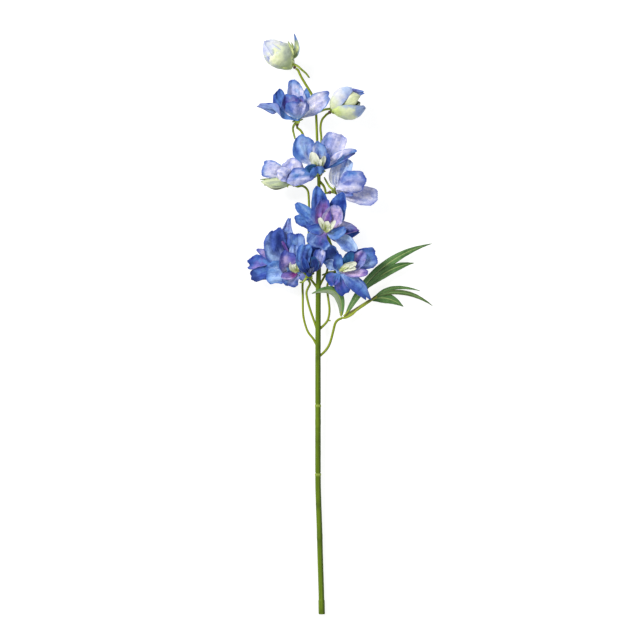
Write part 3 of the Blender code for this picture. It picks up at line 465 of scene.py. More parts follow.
# Cream lobes in the middle of each open bloom, measured from its hub as petals are
BEES = {
    "bloom_2": [Blade((4, 11, 10.5), (5.5, 17.5, 13.5), 5.5, 0.8, "round", 0.1, "white"),
                Blade((1.5, 10.5, 10.5), (2, 16, 13), 5, 0.8, "round", 0.1, "white")],
    "bloom_4": [Blade((-5, 9.5, 10), (-6, 18.5, 11.5), 10.5, 0.35, "broad", 1.4, "white", 0.1,
                      roll=-12),
                Blade((3, 9.5, 9.5), (5, 14.5, 11.5), 5.5, 0.4, "broad", 1.0, "white", roll=12),
                Blade((-0.5, 6, 11), (1.5, 11, 12.5), 4.5, 0.5, "round", 0.2, "white")],
    "bloom_6": [Blade((7, 1.5, 4), (10, 2, 5.5), 3, 0.6, "round", 0.1, "white"),
                Blade((7, 0.5, 3.5), (10, 0.3, 4.8), 3, 0.6, "round", 0.1, "lime")],
    "bloom_7": [Blade((-4, 9, 10), (-7.5, 16, 12.5), 6.5, 0.7, "round", 0.2, "white"),
                Blade((5, 6.5, 10), (9.5, 13, 12.5), 5.5, 0.7, "round", 0.2, "white"),
                Blade((0.5, 6.5, 9), (0.5, 12.5, 11), 8, 0.7, "round", 0.2, "lime"),
                Blade((1.5, 3, 9.5), (4.5, 4.5, 11.5), 4, 0.6, "round", 0.1, "lime")],
    "bloom_8": [Blade((-7, 6, 8.5), (-2.5, 16, 10.5), 8, 0.8, "round", 0.2, "white"),
                Blade((-2.5, 4, 8), (-2, 9, 10), 4.5, 0.6, "round", 0.1, "lime")],
    # This bloom's tuft is painted dark, as painted shade deep in the bloom
    "bloom_9": [Blade((1, 3, 6), (2, 6, 8), 3.2, 0.8, "round", 0.1, "dusk"),
                Blade((3, 3.5, 6), (5, 7, 8), 3, 0.8, "round", 0.1, "dusk")],
    "bloom_10": [Blade((9, 5, 9.5), (18.5, 8.5, 13), 8, 0.7, "round", 0.9, "white"),
                 Blade((8, 2.5, 9.5), (17.5, 2.8, 12.5), 6.5, 0.7, "round", 0.9, "white"),
                 Blade((10.5, 4.6, 11.2), (15.5, 5.8, 13.2), 4, 0.8, "round", 0.3, "white"),
                 Blade((6, 4.5, 10), (11, 6, 12), 5, 0.6, "round", 0.3, "lime")],
}
# How green a tuft's lobes are, and how dark they are painted as painted shade deep in a dark bloom
BEE_TINTS = {"white": (0.0, 0.0), "lime": (0.45, 0.0), "dusk": (0.3, 0.95)}
BEE_THICKNESS = 0.3
# Heart of a tuft: shares of its reach and of its radius, the radius at its end, and the widest
# that it may be
HEART_PROFILE = [(0.0, 0.4), (0.25, 0.5), (0.4, 0.35)]
HEART_END = 0.45
HEART_END_RADIUS = 0.15
HEART_WIDEST = 2.2
# Threads on the heart: their length as a share of its reach, the longest, their radius and how
# far apart they stand, in millimetres, and their tint
THREAD_SHARE = 0.3
THREAD_LONGEST = 3.0
THREAD_RADIUS = 0.14
THREAD_SPACING = 0.9
THREAD_TINT = 0.6

# Stalks moulded onto the stem: the name of each one's head, and its run up to the head's foot
STALKS = [
    ("bloom_8", [(-2.5, 282, 11.3), (-7.4, 290.3, 10.5), (-12.6, 297.2, 9.5), (-16.3, 307.7, 9),
                 (-17.9, 318.2, 9), (-18.1, 336, 8), (-18.4, 345.4, 7.5)]),
    ("bloom_9", [(-2.4, 298, 12), (-9.5, 318.2, 12), (-12.6, 328.7, 12), (-14.2, 338.1, 12),
                 (-12.6, 343.4, 12), (-10.5, 348.0, 12.5)]),
    ("bud_5", [(-2.1, 343, 14), (-8.4, 351, 9), (-11.6, 357, 6), (-12.1, 383.2, 7),
               (-11.6, 423.2, 12), (-11.8, 437.9, 16), (-13.1, 446.2, 18), (-18, 450.5, 19.5)]),
    ("bloom_7", [(-2.1, 343, 14), (3.2, 352.8, 12), (7.4, 361.2, 9), (10.5, 376.9, 9),
                 (12, 388, 11)]),
    ("bloom_10", [(-2, 299, 12), (4.2, 304.5, 11), (8.4, 310.3, 10), (10, 320.2, 9.5),
                  (8.9, 330.8, 9), (7.9, 339.2, 8.5), (8.5, 348.6, 8.5)]),
    ("bloom_6", [(-1.2, 456, 19.3), (3.2, 451.5, 19.5), (5.2, 447.4, 19.5)]),
    ("bloom_4", [(-1.2, 452, 19.2), (-0.6, 457.5, 21)]),
    ("bloom_2", [(-2.0, 472, 20), (-6, 480, 20), (-12.6, 490.4, 19), (-16.8, 501.9, 18),
                 (-19.8, 508.2, 18.5)]),
    ("bud_3", [(-1.8, 470, 20), (1.1, 485, 21.5), (1.3, 501.4, 22), (0.5, 511.4, 22),
               (2.1, 519.8, 21.8)]),
]
STEM_TO_BUD = "bud_1"
# Stalk on the stem that carries the three leaves
LEAF_STALK = [(-2.1, 270, 10.9), (6.3, 278.2, 10), (10.5, 285.6, 9.5), (13.7, 297.2, 9),
              (15.8, 305.6, 9), (18.9, 309.8, 9), (23.0, 311.6, 9)]
LEAF_STALK_RADIUS = 1.3
# Short nub on the side of a stalk
STALK_NUB = [(7.6, 309.6, 10), (11.2, 309.0, 10)]
STALK_NUB_RADII = [0.9, 0.7]
STALK_NUB_STEP = 1.0
# Stalks of the leaves: how far each reaches back into the stem's, and the share of its radius
# that it keeps at its end
PETIOLE_REACH = 1.2
PETIOLE_TAPER = 0.8
PETIOLE_STEP = 1.0

# Each lobe of a leaf starts at its own place, measured from the leaf's hub
Leaf = namedtuple("Leaf", "name stalk stalk_radius hub lobes")
LEAVES = [
    Leaf("leaf_1", [(22.2, 314.6, 9.5), (22.6, 319, 10)], 1.0, (22.6, 317, 9.8),
         [((-0.3, -2.2, -0.2),
           Blade((-6.5, 22, 5.5), (-31, 20.5, 8), 10.5, -0.6, "leaf", 0.2, "leaf"))]),
    Leaf("leaf_2", [(25.7, 314.5, 9), (30.5, 320, 8.8)], 1.0, (29.5, 319, 8.9),
         [((-1.5, -2.5, 0),
           Blade((36, 45.5, -0.4), (87, 71, -2), 10.5, -0.4, "leaf", 0.5, "leaf")),
          ((20, 25, -0.8),
           Blade((44, 43, -1), (69, 50.5, -3), 9.5, 0.4, "leaf", 0.4, "leaf"))]),
    Leaf("leaf_3", [(23.8, 312, 9), (27, 312.2, 9), (33.6, 315.5, 8.4), (42, 323.4, 7.2),
                    (50.4, 329.7, 6), (60, 334.5, 5)], 1.2, (58.8, 334, 5.2),
         [((-33, -21.6, 4.2),
           Blade((-18, -11.5, 3), (1, 0.5, 0.6), 4, -0.7, "wing", 0, "wing")),
          ((-1, 0, 0),
           Blade((19, 9.5, 0), (46.5, 6.5, -3), 4.2, -0.4, "leaf", 0.2, "leaf")),
          ((2, 1.5, 0),
           Blade((31, 4.2, -0.5), (59.3, -9, -4.6), 5.2, -0.3, "leaf", 0.3, "browned")),
          ((-4, -3, 0.3),
           Blade((12, -1.5, -0.8), (28.6, -10, -3.5), 11, -0.3, "leaf", 0.2, "leaf"))]),
]
# Share of brown on a kind of lobe, and on the stalk of each leaf
BROWNED = {"leaf": 0.0, "browned": 0.55, "wing": 0.3}
BROWNED_STALKS = {"leaf_1": 0.3, "leaf_2": 0.3, "leaf_3": 1.0}
# How much a wing takes the colour of the stalk that it runs along
WING_STALK = 0.75
# Leaf whose left half shows its greyish back
FOLDED_LEAF = "leaf_1"


def length_property(name, description, default):
    """Property of a length in metres."""
    return bpy.props.FloatProperty(name=name, description=description, default=default,
                                   unit="LENGTH", min=0.0)


def colour_property(name, description, default):
    """Property of a linear colour."""
    return bpy.props.FloatVectorProperty(name=name, description=description, default=default,
                                         subtype="COLOR", size=3, min=0.0, max=1.0)


class DelphiniumSizes(bpy.types.PropertyGroup):
    """Sizes of the cloth, the floor and the view"""

    cloth_thickness: length_property("Petal Cloth", "Thickness of the petal cloth", 0.00036)
    leaf_thickness: length_property("Leaf Cloth", "Thickness of the leaf cloth", 0.00045)
    crumple: length_property("Crumple", "Depth of the wrinkles in the petals", 0.00016)
    floor: length_property("Floor", "Side of the floor under the spike", 60.0)
    view_width: length_property("View Width", "Width that the camera takes in", 0.672)


class DelphiniumDyes(bpy.types.PropertyGroup):
    """Dyes of the cloth petals"""

    navy: colour_property("Navy", "Darkest blue", (0.014, 0.035, 0.18))
    ultramarine: colour_property("Ultramarine", "Deep blue", (0.022, 0.070, 0.32))
    royal: colour_property("Royal", "Strong blue", (0.060, 0.115, 0.44))
    azure: colour_property("Azure", "Bright clear blue", (0.095, 0.215, 0.55))
    sky: colour_property("Sky", "Light blue", (0.25, 0.385, 0.70))
    periwinkle: colour_property("Periwinkle", "Light violet blue", (0.25, 0.29, 0.60))
    violet: colour_property("Violet", "Blue violet", (0.155, 0.125, 0.44))
    plum: colour_property("Plum", "Dull purple", (0.20, 0.11, 0.40))
    magenta: colour_property("Magenta", "Dark red purple", (0.22, 0.03, 0.24))
    pink: colour_property("Pink", "Pale pink lilac", (0.50, 0.40, 0.70))
    lilac: colour_property("Lilac", "Pale lilac", (0.53, 0.54, 0.76))
    ice: colour_property("Ice", "Almost white blue", (0.68, 0.72, 0.84))
    teal: colour_property("Teal", "Dark green blue", (0.016, 0.10, 0.26))
    cream: colour_property("Cream", "Warm white at a throat", (0.82, 0.80, 0.64))
    white: colour_property("White", "White at a throat", (0.62, 0.65, 0.58))
    pale_green: colour_property("Pale Green", "Skin of a bud", (0.55, 0.62, 0.30))
    leek: colour_property("Leek", "Green foot of a pale bud", (0.48, 0.61, 0.10))
    bright: colour_property("Bright Sky", "Palest clear blue", (0.42, 0.56, 0.86))
    pearl: colour_property("Pearl", "Dull white of a bud", (0.58, 0.60, 0.64))
    pale_leek: colour_property("Pale Leek", "White green of a bud", (0.60, 0.67, 0.35))
    mist: colour_property("Mist", "Pale blue violet", (0.37, 0.41, 0.68))
    teal_blue: colour_property("Teal Blue", "Rim of a frilled petal", (0.05, 0.17, 0.46))
    sage: colour_property("Sage", "Foot of a bud", (0.40, 0.50, 0.20))
    moss: colour_property("Moss", "Edge of a bud's sepals", (0.20, 0.28, 0.07))


class DelphiniumColours(bpy.types.PropertyGroup):
    """Colours of the moulded and printed parts"""

    bleached: colour_property("Bleached", "Where the dye has run thin", (0.86, 0.89, 0.98))
    # Also used for painted shade on the petals
    soaked: colour_property("Soaked", "Shade of cloth with more dye", (0.52, 0.58, 0.82))
    stem: colour_property("Stem", "Moulded main stem", (0.097, 0.162, 0.006))
    stem_light: colour_property("Stem Streaks", "Paler streaks along the stem",
                                (0.148, 0.232, 0.012))
    # Darker patches, and also the painted shade down one side of the stem and stalks
    stem_deep: colour_property("Stem Patches", "Darker patches of the stem",
                               (0.042, 0.068, 0.007))
    stalk: colour_property("Stalk", "Thin stalks", (0.30, 0.36, 0.025))
    joint: colour_property("Joint", "Pale rings at the joints", (0.36, 0.45, 0.09))
    leaf: colour_property("Leaf", "Leaf cloth", (0.052, 0.148, 0.033))
    leaf_light: colour_property("Leaf Patches", "Lighter patches of a leaf",
                                (0.105, 0.235, 0.065))
    leaf_vein: colour_property("Leaf Veins", "Printed veins", (0.42, 0.50, 0.18))
    leaf_deep: colour_property("Leaf Edge", "Darker edge of a leaf", (0.022, 0.065, 0.012))
    leaf_under: colour_property("Leaf Underside", "Greyish back of a leaf", (0.36, 0.42, 0.29))
    petiole: colour_property("Petiole", "Browned leaf stalk", (0.13, 0.085, 0.025))
    calyx: colour_property("Calyx", "Cup under a bloom", (0.155, 0.215, 0.016))
    calyx_light: colour_property("Calyx Patches", "Paler parts of the cup", (0.33, 0.42, 0.05))
    collar: colour_property("Collar", "Red-brown bead under a cup", (0.065, 0.016, 0.012))
    collar_light: colour_property("Collar Patches", "Lighter parts of the bead",
                                  (0.16, 0.05, 0.02))
    bee_foot: colour_property("Tuft Foot", "Yellow green foot of a tuft", (0.42, 0.50, 0.13))
    bee: colour_property("Tuft", "Cream tuft in a bloom", (0.72, 0.75, 0.63))
    bee_thread: colour_property("Tuft Threads", "Threads in a tuft", (0.55, 0.50, 0.30))
    # Painted shade of a tuft deep in a dark bloom
    bee_dusk: colour_property("Dark Tuft", "Tuft deep in a dark bloom", (0.03, 0.05, 0.16))


def interpolate(rows, x):
    """Values at x of a table of (x, value) pairs, straight between its rows."""
    return np.interp(x, [row[0] for row in rows], [row[1] for row in rows])


def unit(vectors):
    """The vectors at a length of one."""
    vectors = np.asarray(vectors, float)
    return vectors / np.maximum(np.linalg.norm(vectors, axis=-1, keepdims=True), 1e-12)


def dot(first, second):
    """Products of two fields of vectors, kept as a column."""
    return np.sum(first * second, axis=-1, keepdims=True)


def square_to(vectors, along):
    """The vectors turned square to a direction, at a length of one."""
    return unit(vectors - along * dot(vectors, along))


def ease(x):
    """Smooth step from 0 to 1 as x goes from 0 to 1."""
    x = np.clip(x, 0.0, 1.0)
    return x * x * (3 - 2 * x)


def turn_about(vectors, axes, angle):
    """The vectors turned about unit axes that are square to them, by an angle in radians."""
    angle = np.asarray(angle)[..., None]
    return vectors * np.cos(angle) + np.cross(axes, vectors) * np.sin(angle)


def smooth_run(points, spacing):
    """Points about so far apart on a Catmull-Rom curve through the given ones."""
    points = np.asarray(points, float)
    ends = np.vstack([2 * points[0] - points[1], points, 2 * points[-1] - points[-2]])
    run = []
    for p0, p1, p2, p3 in zip(ends, ends[1:], ends[2:], ends[3:]):
        steps = max(2, int(math.ceil(np.linalg.norm(p2 - p1) / spacing)))
        t = np.arange(steps)[:, None] / steps
        run.append(0.5 * (2 * p1 + (p2 - p0) * t + (2 * p0 - 5 * p1 + 4 * p2 - p3) * t ** 2
                          + (3 * p1 - p0 - 3 * p2 + p3) * t ** 3))
    run.append(points[-1:])
    return np.vstack(run)


def to_row_frame(places):
    """Places on the stem's measure, in metres in the row frame."""
    return (np.asarray(places) - MEASURE_ORIGIN) * MM


def head_axis(head):
    """Axis of a head, at a length of one."""
    return unit(head.axis)


def along_axis(head, distance):
    """Point on a head's axis, at a distance from the middle of its outer petals."""
    return head.hub + head_axis(head) * distance


def head_named(name):
    """Head of the given name."""
    return next(head for head in HEADS if head.name == name)


def stem_height(y):
    """Height of the stem's middle above the surface, at y along it."""
    return STEM_SEAT + STEM_RISE * (np.maximum(y, 0.0) / STEM_RISE_AT) ** STEM_RISE_POWER


class Mould:
    """Points, faces and point values of a piece, gathered patch by patch in millimetres."""

    def __init__(self):
        self.points = []
        self.faces = []
        self.values = {}
        self.count = 0

    def add(self, points, faces, **values):
        """Adds a patch, with a value or a row of them for each of its points."""
        points = np.asarray(points, float).reshape(-1, 3)
        self.points.append(points)
        self.faces += [tuple(self.count + corner for corner in face) for face in faces]
        for name, value in values.items():
            value = np.asarray(value, float)
            if value.shape[:1] != (len(points),):
                value = np.tile(value, (len(points),) + (1,) * value.ndim)
            self.values.setdefault(name, []).append(value)
        self.count += len(points)

    def mesh(self, name, finish):
        """Plain mesh of the patches, with UV maps and attributes for their values."""
        mesh = bpy.data.meshes.new(name)
        points = to_row_frame(np.vstack(self.points))
        mesh.from_pydata(points.tolist(), [], self.faces)
        corners = np.empty(len(mesh.loops), np.int32)
        mesh.loops.foreach_get("vertex_index", corners)
        for key, parts in self.values.items():
            rows = np.concatenate(parts)
            if rows.ndim == 1:
                layer = mesh.attributes.new(key, "FLOAT", "POINT")
                layer.data.foreach_set("value", rows.astype(np.float32))
            elif rows.shape[1] == 2:
                layer = mesh.uv_layers.new(name=key)
                layer.data.foreach_set("uv", rows[corners].astype(np.float32).ravel())
            else:
                layer = mesh.attributes.new(key, "FLOAT_COLOR", "POINT")
                rows = np.hstack([rows, np.ones((len(rows), 1))])
                layer.data.foreach_set("color", rows.astype(np.float32).ravel())
        mesh.materials.append(finish)
        mesh.validate()
        mesh.shade_smooth()
        mesh.set_sharp_from_angle(angle=math.radians(SHARP_ANGLE))
        mesh.update()
        return mesh


def grid_faces(rows, columns, closed=False, flipped=False):
    """Quads of a grid of points, closed round its columns if asked."""
    faces = []
    for i in range(rows - 1):
        for j in range(columns if closed else columns - 1):
            k = (j + 1) % columns
            face = (i * columns + j, (i + 1) * columns + j, (i + 1) * columns + k, i * columns + k)
            faces.append(face[::-1] if flipped else face)
    return faces


def surface_normals(places):
    """Unit normals of a grid of places, with rows along and columns across."""
    along = np.gradient(places, axis=0)
    across = np.gradient(places, axis=1)
    return unit(np.cross(along, across))


def add_cloth(mould, places, thickness, **values):
    """Adds a closed thin sheet whose middle is the given grid of places."""
    rows, columns = places.shape[:2]
    offset = surface_normals(places) * thickness / 2
    points = np.vstack([(places + offset).reshape(-1, 3), (places - offset).reshape(-1, 3)])
    size = rows * columns
    last_row = size - columns
    faces = grid_faces(rows, columns)
    faces += [tuple(size + corner for corner in face[::-1]) for face in faces]
    rim = [*range(columns - 1), *range(columns - 1, size - 1, columns),
           *range(size - 1, last_row, -1), *range(last_row, 0, -columns)]
    for here, there in zip(rim, rim[1:] + rim[:1]):
        faces.append((here, there, size + there, size + here))
    doubled = {}
    for key, value in values.items():
        value = np.asarray(value, float)
        if value.shape[:2] == (rows, columns):
            value = value.reshape((size,) + value.shape[2:])
            value = np.concatenate([value, value])
        doubled[key] = value
    doubled["underside"] = np.repeat([0.0, 1.0], size)
    mould.add(points, faces, **doubled)


def first_side(axis, towards=UP):
    """Direction square to an axis, on the side where what stands round it begins."""
    return square_to(towards if abs(axis[2]) < 0.9 else RIGHT, axis)


def add_turned(mould, foot, axis, rows, turning, **values):
    """Adds a closed turned form on an axis, from (distance, radius) pairs, with soft ridges."""
    sides, ridge, ridges = turning
    axis = unit(axis)
    foot = np.asarray(foot, float)
    across = first_side(axis, SEAM_SIDE)
    beside = np.cross(axis, across)
    angle = 2 * math.pi * np.arange(sides) / sides
    out = across * np.cos(angle)[:, None] + beside * np.sin(angle)[:, None]
    swell = 1 + ridge * np.cos(ridges * angle)[:, None]
    rings = [foot + axis * distance + out * radius * swell for distance, radius in rows]
    ends = [foot + axis * rows[0][0], foot + axis * rows[-1][0]]
    first = len(rows) * sides
    faces = grid_faces(len(rows), sides, closed=True, flipped=True)
    for side in range(sides):
        after = (side + 1) % sides
        faces.append((first, after, side))
        faces.append((first + 1, first - sides + side, first - sides + after))
    mould.add(np.vstack(rings + ends), faces, **values)


def blade_width(outline, u):
    """Share of a blade's full width at u along it."""
    growth = np.sin(0.5 * math.pi * np.clip(u / outline.widest, 0, 1))
    rising = outline.root + (1 - outline.root) * growth ** outline.neck
    beyond = (u - outline.widest) / (1 - outline.widest)
    return np.where(u < outline.widest, rising, 1 - (1 - outline.tip) * beyond ** 2)


def blade_facing(along, chord, roll):
    """Way a blade faces when it is turned by roll from facing up, square to its run."""
    side = square_to(np.array((-chord[1], chord[0], 0.0)), along)
    return turn_about(np.cross(along, side), along, np.radians(roll))


def petal_root(head, blade, disc_at, disc_radius):
    """Place where a petal leaves the disc of its layer."""
    reach = square_to(np.array(blade.mid, float), head_axis(head))
    return along_axis(head, disc_at) + reach * disc_radius * ROOT_SHARE


def cloth_grid(rows, columns):
    """How far along, from 0 to 1, and across, from -1 to 1, the points of a sheet of cloth lie."""
    return np.meshgrid(np.linspace(0, 1, rows), np.linspace(-1, 1, columns), indexing="ij")


def blade_share(blade, outline, u, v, swing, size, fray):
    """Share of a blade's run at its points, with its rounded, frilled and notched tip."""
    frill = sum(size[k] * np.sin((2.4 + 1.9 * k) * v + swing[k]) / (1 + 1.4 * k)
                for k in range(3))
    nicks = np.sin(19 * v + swing[2]) * np.sin(8 * v + swing[7])
    notch_at = (size[5] - 0.75) * 1.6
    notch = size[4] * np.exp(-((v - notch_at) / TIP_NOTCH_REACH) ** 2)
    fall = outline.fall * (0.9 + 0.2 * size[6])
    lean = blade.skew + fray * TIP_LEAN * (size[7] - 0.75)
    frayed = (TIP_FRILL * frill * ease((u - 0.5) / 0.4) + TIP_NICKS * nicks * ease((u - 0.8) / 0.2)
              - TIP_NOTCH * notch * ease((u - 0.6) / 0.4))
    return u * (1 - fall * np.abs(v) ** TIP_ROUNDING) + lean * v * u ** 3 + fray * frayed


def blade_run(root, hub, axis, blade, outline, u, share):
    """Middle line of a blade at its points, and the ways to its left side and out of it."""
    tip = hub + blade.tip
    pull = 2 * (hub + blade.mid) - (root + tip) / 2
    share = share[..., None]
    point = root * (1 - share) ** 2 + pull * (2 * share * (1 - share)) + tip * share ** 2
    along = unit((pull - root) * (1 - share) + (tip - pull) * share)
    turn = outline.turn * ease((u - TWIST_FROM) / (TWIST_TO - TWIST_FROM))
    free = blade_facing(along, tip - root, blade.roll + turn)
    start = blade_facing(unit(pull - root), tip - root, blade.roll)
    held = square_to(np.broadcast_to(axis, along.shape), along)
    held = held if np.dot(axis, start) >= 0 else -held
    facing = square_to(held + (free - held) * ease(u / ROOT_HOLD)[..., None], along)
    return point, np.cross(facing, along), facing


def blade_section(blade, outline, u, v, swing, size, fray):
    """How far the points of a blade lie to the side of its middle line and above it."""
    left = v > 0
    waver = sum(size[5 + k] * np.sin(2 * math.pi * (1.1 + k) * u + swing[5 + k]
                                     + left * (2.0 * k + 1.0)) / (1.5 + k)
                for k in range(3))
    nicks = np.sin(29 * u + swing[6] + left * 2.4) * np.sin(9 * u + swing[3])
    frayed = SIDE_WAVER * waver * ease(u / 0.3) + SIDE_NICKS * nicks * ease((u - 0.3) / 0.2)
    half_width = 0.5 * blade.width * blade_width(outline, u) * (1 + fray * frayed)
    bend = blade.cup if abs(blade.cup) > FLATTEST_CUP else FLATTEST_CUP
    cup = bend * np.maximum(ease(u / ROOT_HOLD), 0.02)
    ruffle = blade.ruffle * v ** 2 * u * np.sin(RUFFLE_ALONG * u + RUFFLE_ACROSS * v)
    return half_width * np.sin(cup * v) / cup, half_width * (1 - np.cos(cup * v)) / cup + ruffle


def wrinkled(across, along, swing, size):
    """Straight wrinkles that cross each other at all angles, from places in millimetres."""
    height = 0.0
    for k in range(WRINKLES):
        angle = swing[k] + k
        pitch = 2 * math.pi / (3.5 + 7.5 * size[(k + 3) % 12] * (1 if k % 2 else 0.6))
        path = across * math.cos(angle) + along * math.sin(angle)
        height = height + np.sin(pitch * path + swing[(k + 5) % 12]) * (0.5 + 0.5 * size[k])
    return height


def pinched(u, v, swing, size):
    """Narrow pinches that run along a blade, some raised and some sunk."""
    height = 0.0
    for k in (1, 4, 6, 9):
        middle = math.sin(swing[k] + 1.3 * k) * (0.2 + 0.6 * u)
        narrow = 0.09 + 0.14 * size[k + 1]
        height = height + (1 if size[k] > 0.75 else -1) * np.exp(-((v - middle) / narrow) ** 2)
    return height * (1 - 0.45 * u)


def blade_relief(blade, u, v, across, along, swing, size, crumple, fray):
    """Height of a blade's folds in millimetres, and how far its points are raised or sunk."""
    folds = (FOLD_DEPTH * blade.width * (1 - 0.3 * u)
             * np.sin((6.0 + 3 * size[8]) * v + swing[8] + 0.8 * u))
    pinch = PINCH_DEPTH * blade.width * pinched(u, v, swing, size)
    bend = BEND_DEPTH * blade.width * np.sin(4.2 * u + swing[11]) * ease((u - 0.2) / 0.4)
    crease = -CREASE_DEPTH * np.exp(-(v / CREASE_REACH) ** 2) * ease((1 - u) / 0.35)
    sides = (0.35 + 0.9 * blade.ruffle) * (np.abs(v) ** 4 * u
                                           * np.sin(11 * u + swing[9] + 2.5 * np.sign(v)))
    tip = (0.3 + 0.8 * blade.ruffle) * u ** 6 * np.sin(5.5 * v + swing[10])
    edges = EDGE_LIFT * (sides + tip)
    relief = (folds * fray + crumple * wrinkled(across, along, swing, size) / 3
              + fray * (edges + crease + pinch + bend))
    free_part = ease((u - 0.05) / 0.35)
    # How far each point is raised or sunk, which the finishes paint as highlight on ridges and
    # shade in folds
    raised = (folds + pinch + fray * edges) / (0.05 * blade.width)
    return relief * free_part, raised * free_part


def blade_sheet(root, hub, axis, blade, grid, draw, crumple, fray):
    """Grid of a blade's middle surface, its u and v, its cloth measure and its raised parts."""
    outline = OUTLINES[blade.shape]
    u, v = cloth_grid(*grid)
    swing = draw.uniform(0, 2 * math.pi, 12)
    size = draw.uniform(0.5, 1.0, 12)
    share = blade_share(blade, outline, u, v, swing, size, fray)
    point, side, facing = blade_run(root, hub, axis, blade, outline, u, share)
    across, rise = blade_section(blade, outline, u, v, swing, size, fray)
    along = share * np.linalg.norm(hub + blade.tip - root)
    relief, raised = blade_relief(blade, u, v, across, along, swing, size, crumple, fray)
    places = point + side * across[..., None] + facing * (rise + relief)[..., None]
    return places, u, v, across, along, raised


def shell_sheet(hub, shell, draw, crumple):
    """Grid of a petal's middle surface where it wraps a bud, with the same values."""
    t, v = cloth_grid(*SHELL_GRID)
    u = 1 - (1 - t) ** 1.5
    foot = hub + shell.foot
    run = hub + shell.tip - foot
    axis = unit(run)
    up = square_to(UP, axis)
    beside = np.cross(axis, up)
    swing = draw.uniform(0, 2 * math.pi, 8)
    frill = sum(np.sin((5 + 4 * k) * v + swing[k]) / (1 + k) for k in range(3))
    pleats = sum(np.sin((4.3 + 3.1 * k) * v + swing[3 + k] + 1.3 * u) / (1.5 + k)
                 for k in range(4))
    belly = np.sin(math.pi * np.clip(u, 0, 0.985) ** shell.swell) ** 0.62
    mouth = np.sin(0.5 * math.pi * u ** 0.7)
    radius = shell.radius * ((1 - shell.opening) * belly + shell.opening * mouth)
    radius = radius + SHELL_FOOT * (1 - u)
    radius = radius + PLEAT_DEPTH * pleats * ease(u / 0.3) + shell.frill * 0.5 * frill * u ** 8
    radius = radius + crumple * np.sin(2.1 * shell.radius * u + 3 * v + swing[7])
    angle = np.radians(shell.turn + 0.5 * shell.spread * v * (1 - 0.25 * u ** 3))
    end = 1 - 0.05 * v ** 2 + shell.frill * 0.02 * frill * u ** 3
    out = up * np.cos(angle)[..., None] + beside * np.sin(angle)[..., None]
    places = foot + run * (u * end)[..., None] + out * radius[..., None]
    return places, u, v, v * shell.radius * 1.2, u * np.linalg.norm(run), pleats * 0.7


class Signal:
    """Wraps one output of a node, so that arithmetic on it adds Math nodes."""

    def __init__(self, graph, node, output):
        self.graph = graph
        self.node = node
        self.socket = node.outputs[output]

    def at(self, output):
        """Another output of the same node."""
        return Signal(self.graph, self.node, output)

    def maths(self, operation, *values):
        """Math node of an operation on the given values."""
        inputs = dict(enumerate(values))
        return self.graph.add("ShaderNodeMath", {"operation": operation}, inputs)

    def __add__(self, other):
        return self.maths("ADD", self, other)

    def __radd__(self, other):
        return self.maths("ADD", other, self)

    def __sub__(self, other):
        return self.maths("SUBTRACT", self, other)

    def __rsub__(self, other):
        return self.maths("SUBTRACT", other, self)

    def __mul__(self, other):
        return self.maths("MULTIPLY", self, other)

    def __rmul__(self, other):
        return self.maths("MULTIPLY", other, self)

    def __abs__(self):
        return self.maths("ABSOLUTE", self)


class Graph:
    """Node tree that is built one node at a time."""

    def __init__(self, tree):
        self.tree = tree

    def add(self, kind, settings=None, inputs=None, output=0):
        """Node of a kind, with its settings made first and then its inputs set or linked."""
        node = self.tree.nodes.new(kind)
        for name, value in (settings or {}).items():
            setattr(node, name, value)
        for key, value in (inputs or {}).items():
            if isinstance(value, Signal):
                self.tree.links.new(value.socket, node.inputs[key])
            else:
                node.inputs[key].default_value = value
        return Signal(self, node, output) if len(node.outputs) else None


class Finish(Graph):
    """Graph of a material that ends in one Principled shader."""

    def __init__(self, name, **constants):
        self.material = bpy.data.materials.new(name)
        self.material.use_nodes = True
        super().__init__(self.material.node_tree)
        self.shader = self.tree.nodes["Principled BSDF"]
        for key, value in constants.items():
            self.shader.inputs[key.replace("_", " ")].default_value = value

    def connect(self, **signals):
        """Links signals to the shader's inputs, an underscore standing for a space."""
        for key, signal in signals.items():
            self.tree.links.new(signal.socket, self.shader.inputs[key.replace("_", " ")])

    def place(self):
        """Object coordinates, in metres."""
        return self.add("ShaderNodeTexCoord", output="Object")

    def value(self, name):
        """Number kept in an attribute of the mesh."""
        return self.add("ShaderNodeAttribute", {"attribute_name": name}, output="Fac")

    def dye(self, name):
        """Colour kept in an attribute of the mesh."""
        return self.add("ShaderNodeAttribute", {"attribute_name": name}, output="Color")

    def unwrapped(self, name):
        """First and second coordinate of a UV map."""
        chart = self.add("ShaderNodeUVMap", {"uv_map": name})
        split = self.add("ShaderNodeSeparateXYZ", inputs={0: chart})
        return split, split.at(1)

    def vector(self, x, y, z=0.0):
        """Vector of three numbers."""
        return self.add("ShaderNodeCombineXYZ", inputs={0: x, 1: y, 2: z})

    def noise(self, vector, scale, detail=2.0, distortion=0.0):
        """Soft noise from 0 to 1."""
        inputs = {"Vector": vector, "Scale": scale, "Detail": detail, "Distortion": distortion}
        return self.add("ShaderNodeTexNoise", inputs=inputs)

    def fade(self, value, low, high):
        """Smooth step of a number from 0 at low to 1 at high."""
        inputs = {0: value, 1: low, 2: high}
        return self.add("ShaderNodeMapRange", {"interpolation_type": "SMOOTHSTEP"}, inputs)

    def larger(self, first, second):
        """Larger of two numbers."""
        return first.maths("MAXIMUM", first, second)

    def wave(self, value):
        """Sine of a number."""
        return value.maths("SINE", value)

    def mix(self, share, base, other, how="MIX"):
        """Base colour with a share of another laid over it."""
        return self.add("ShaderNodeMix", {"data_type": "RGBA", "blend_type": how},
                        {0: share, 6: colour_of(base), 7: colour_of(other)}, 2)

    def bump(self, height_mm, strength=1.0):
        """Normal from a height in millimetres."""
        return self.add("ShaderNodeBump",
                        inputs={"Strength": strength, "Distance": MM, "Height": height_mm})


def colour_of(value):
    """The value itself where it is a signal, or else an opaque colour."""
    return value if isinstance(value, Signal) else (*tuple(value)[:3], 1.0)


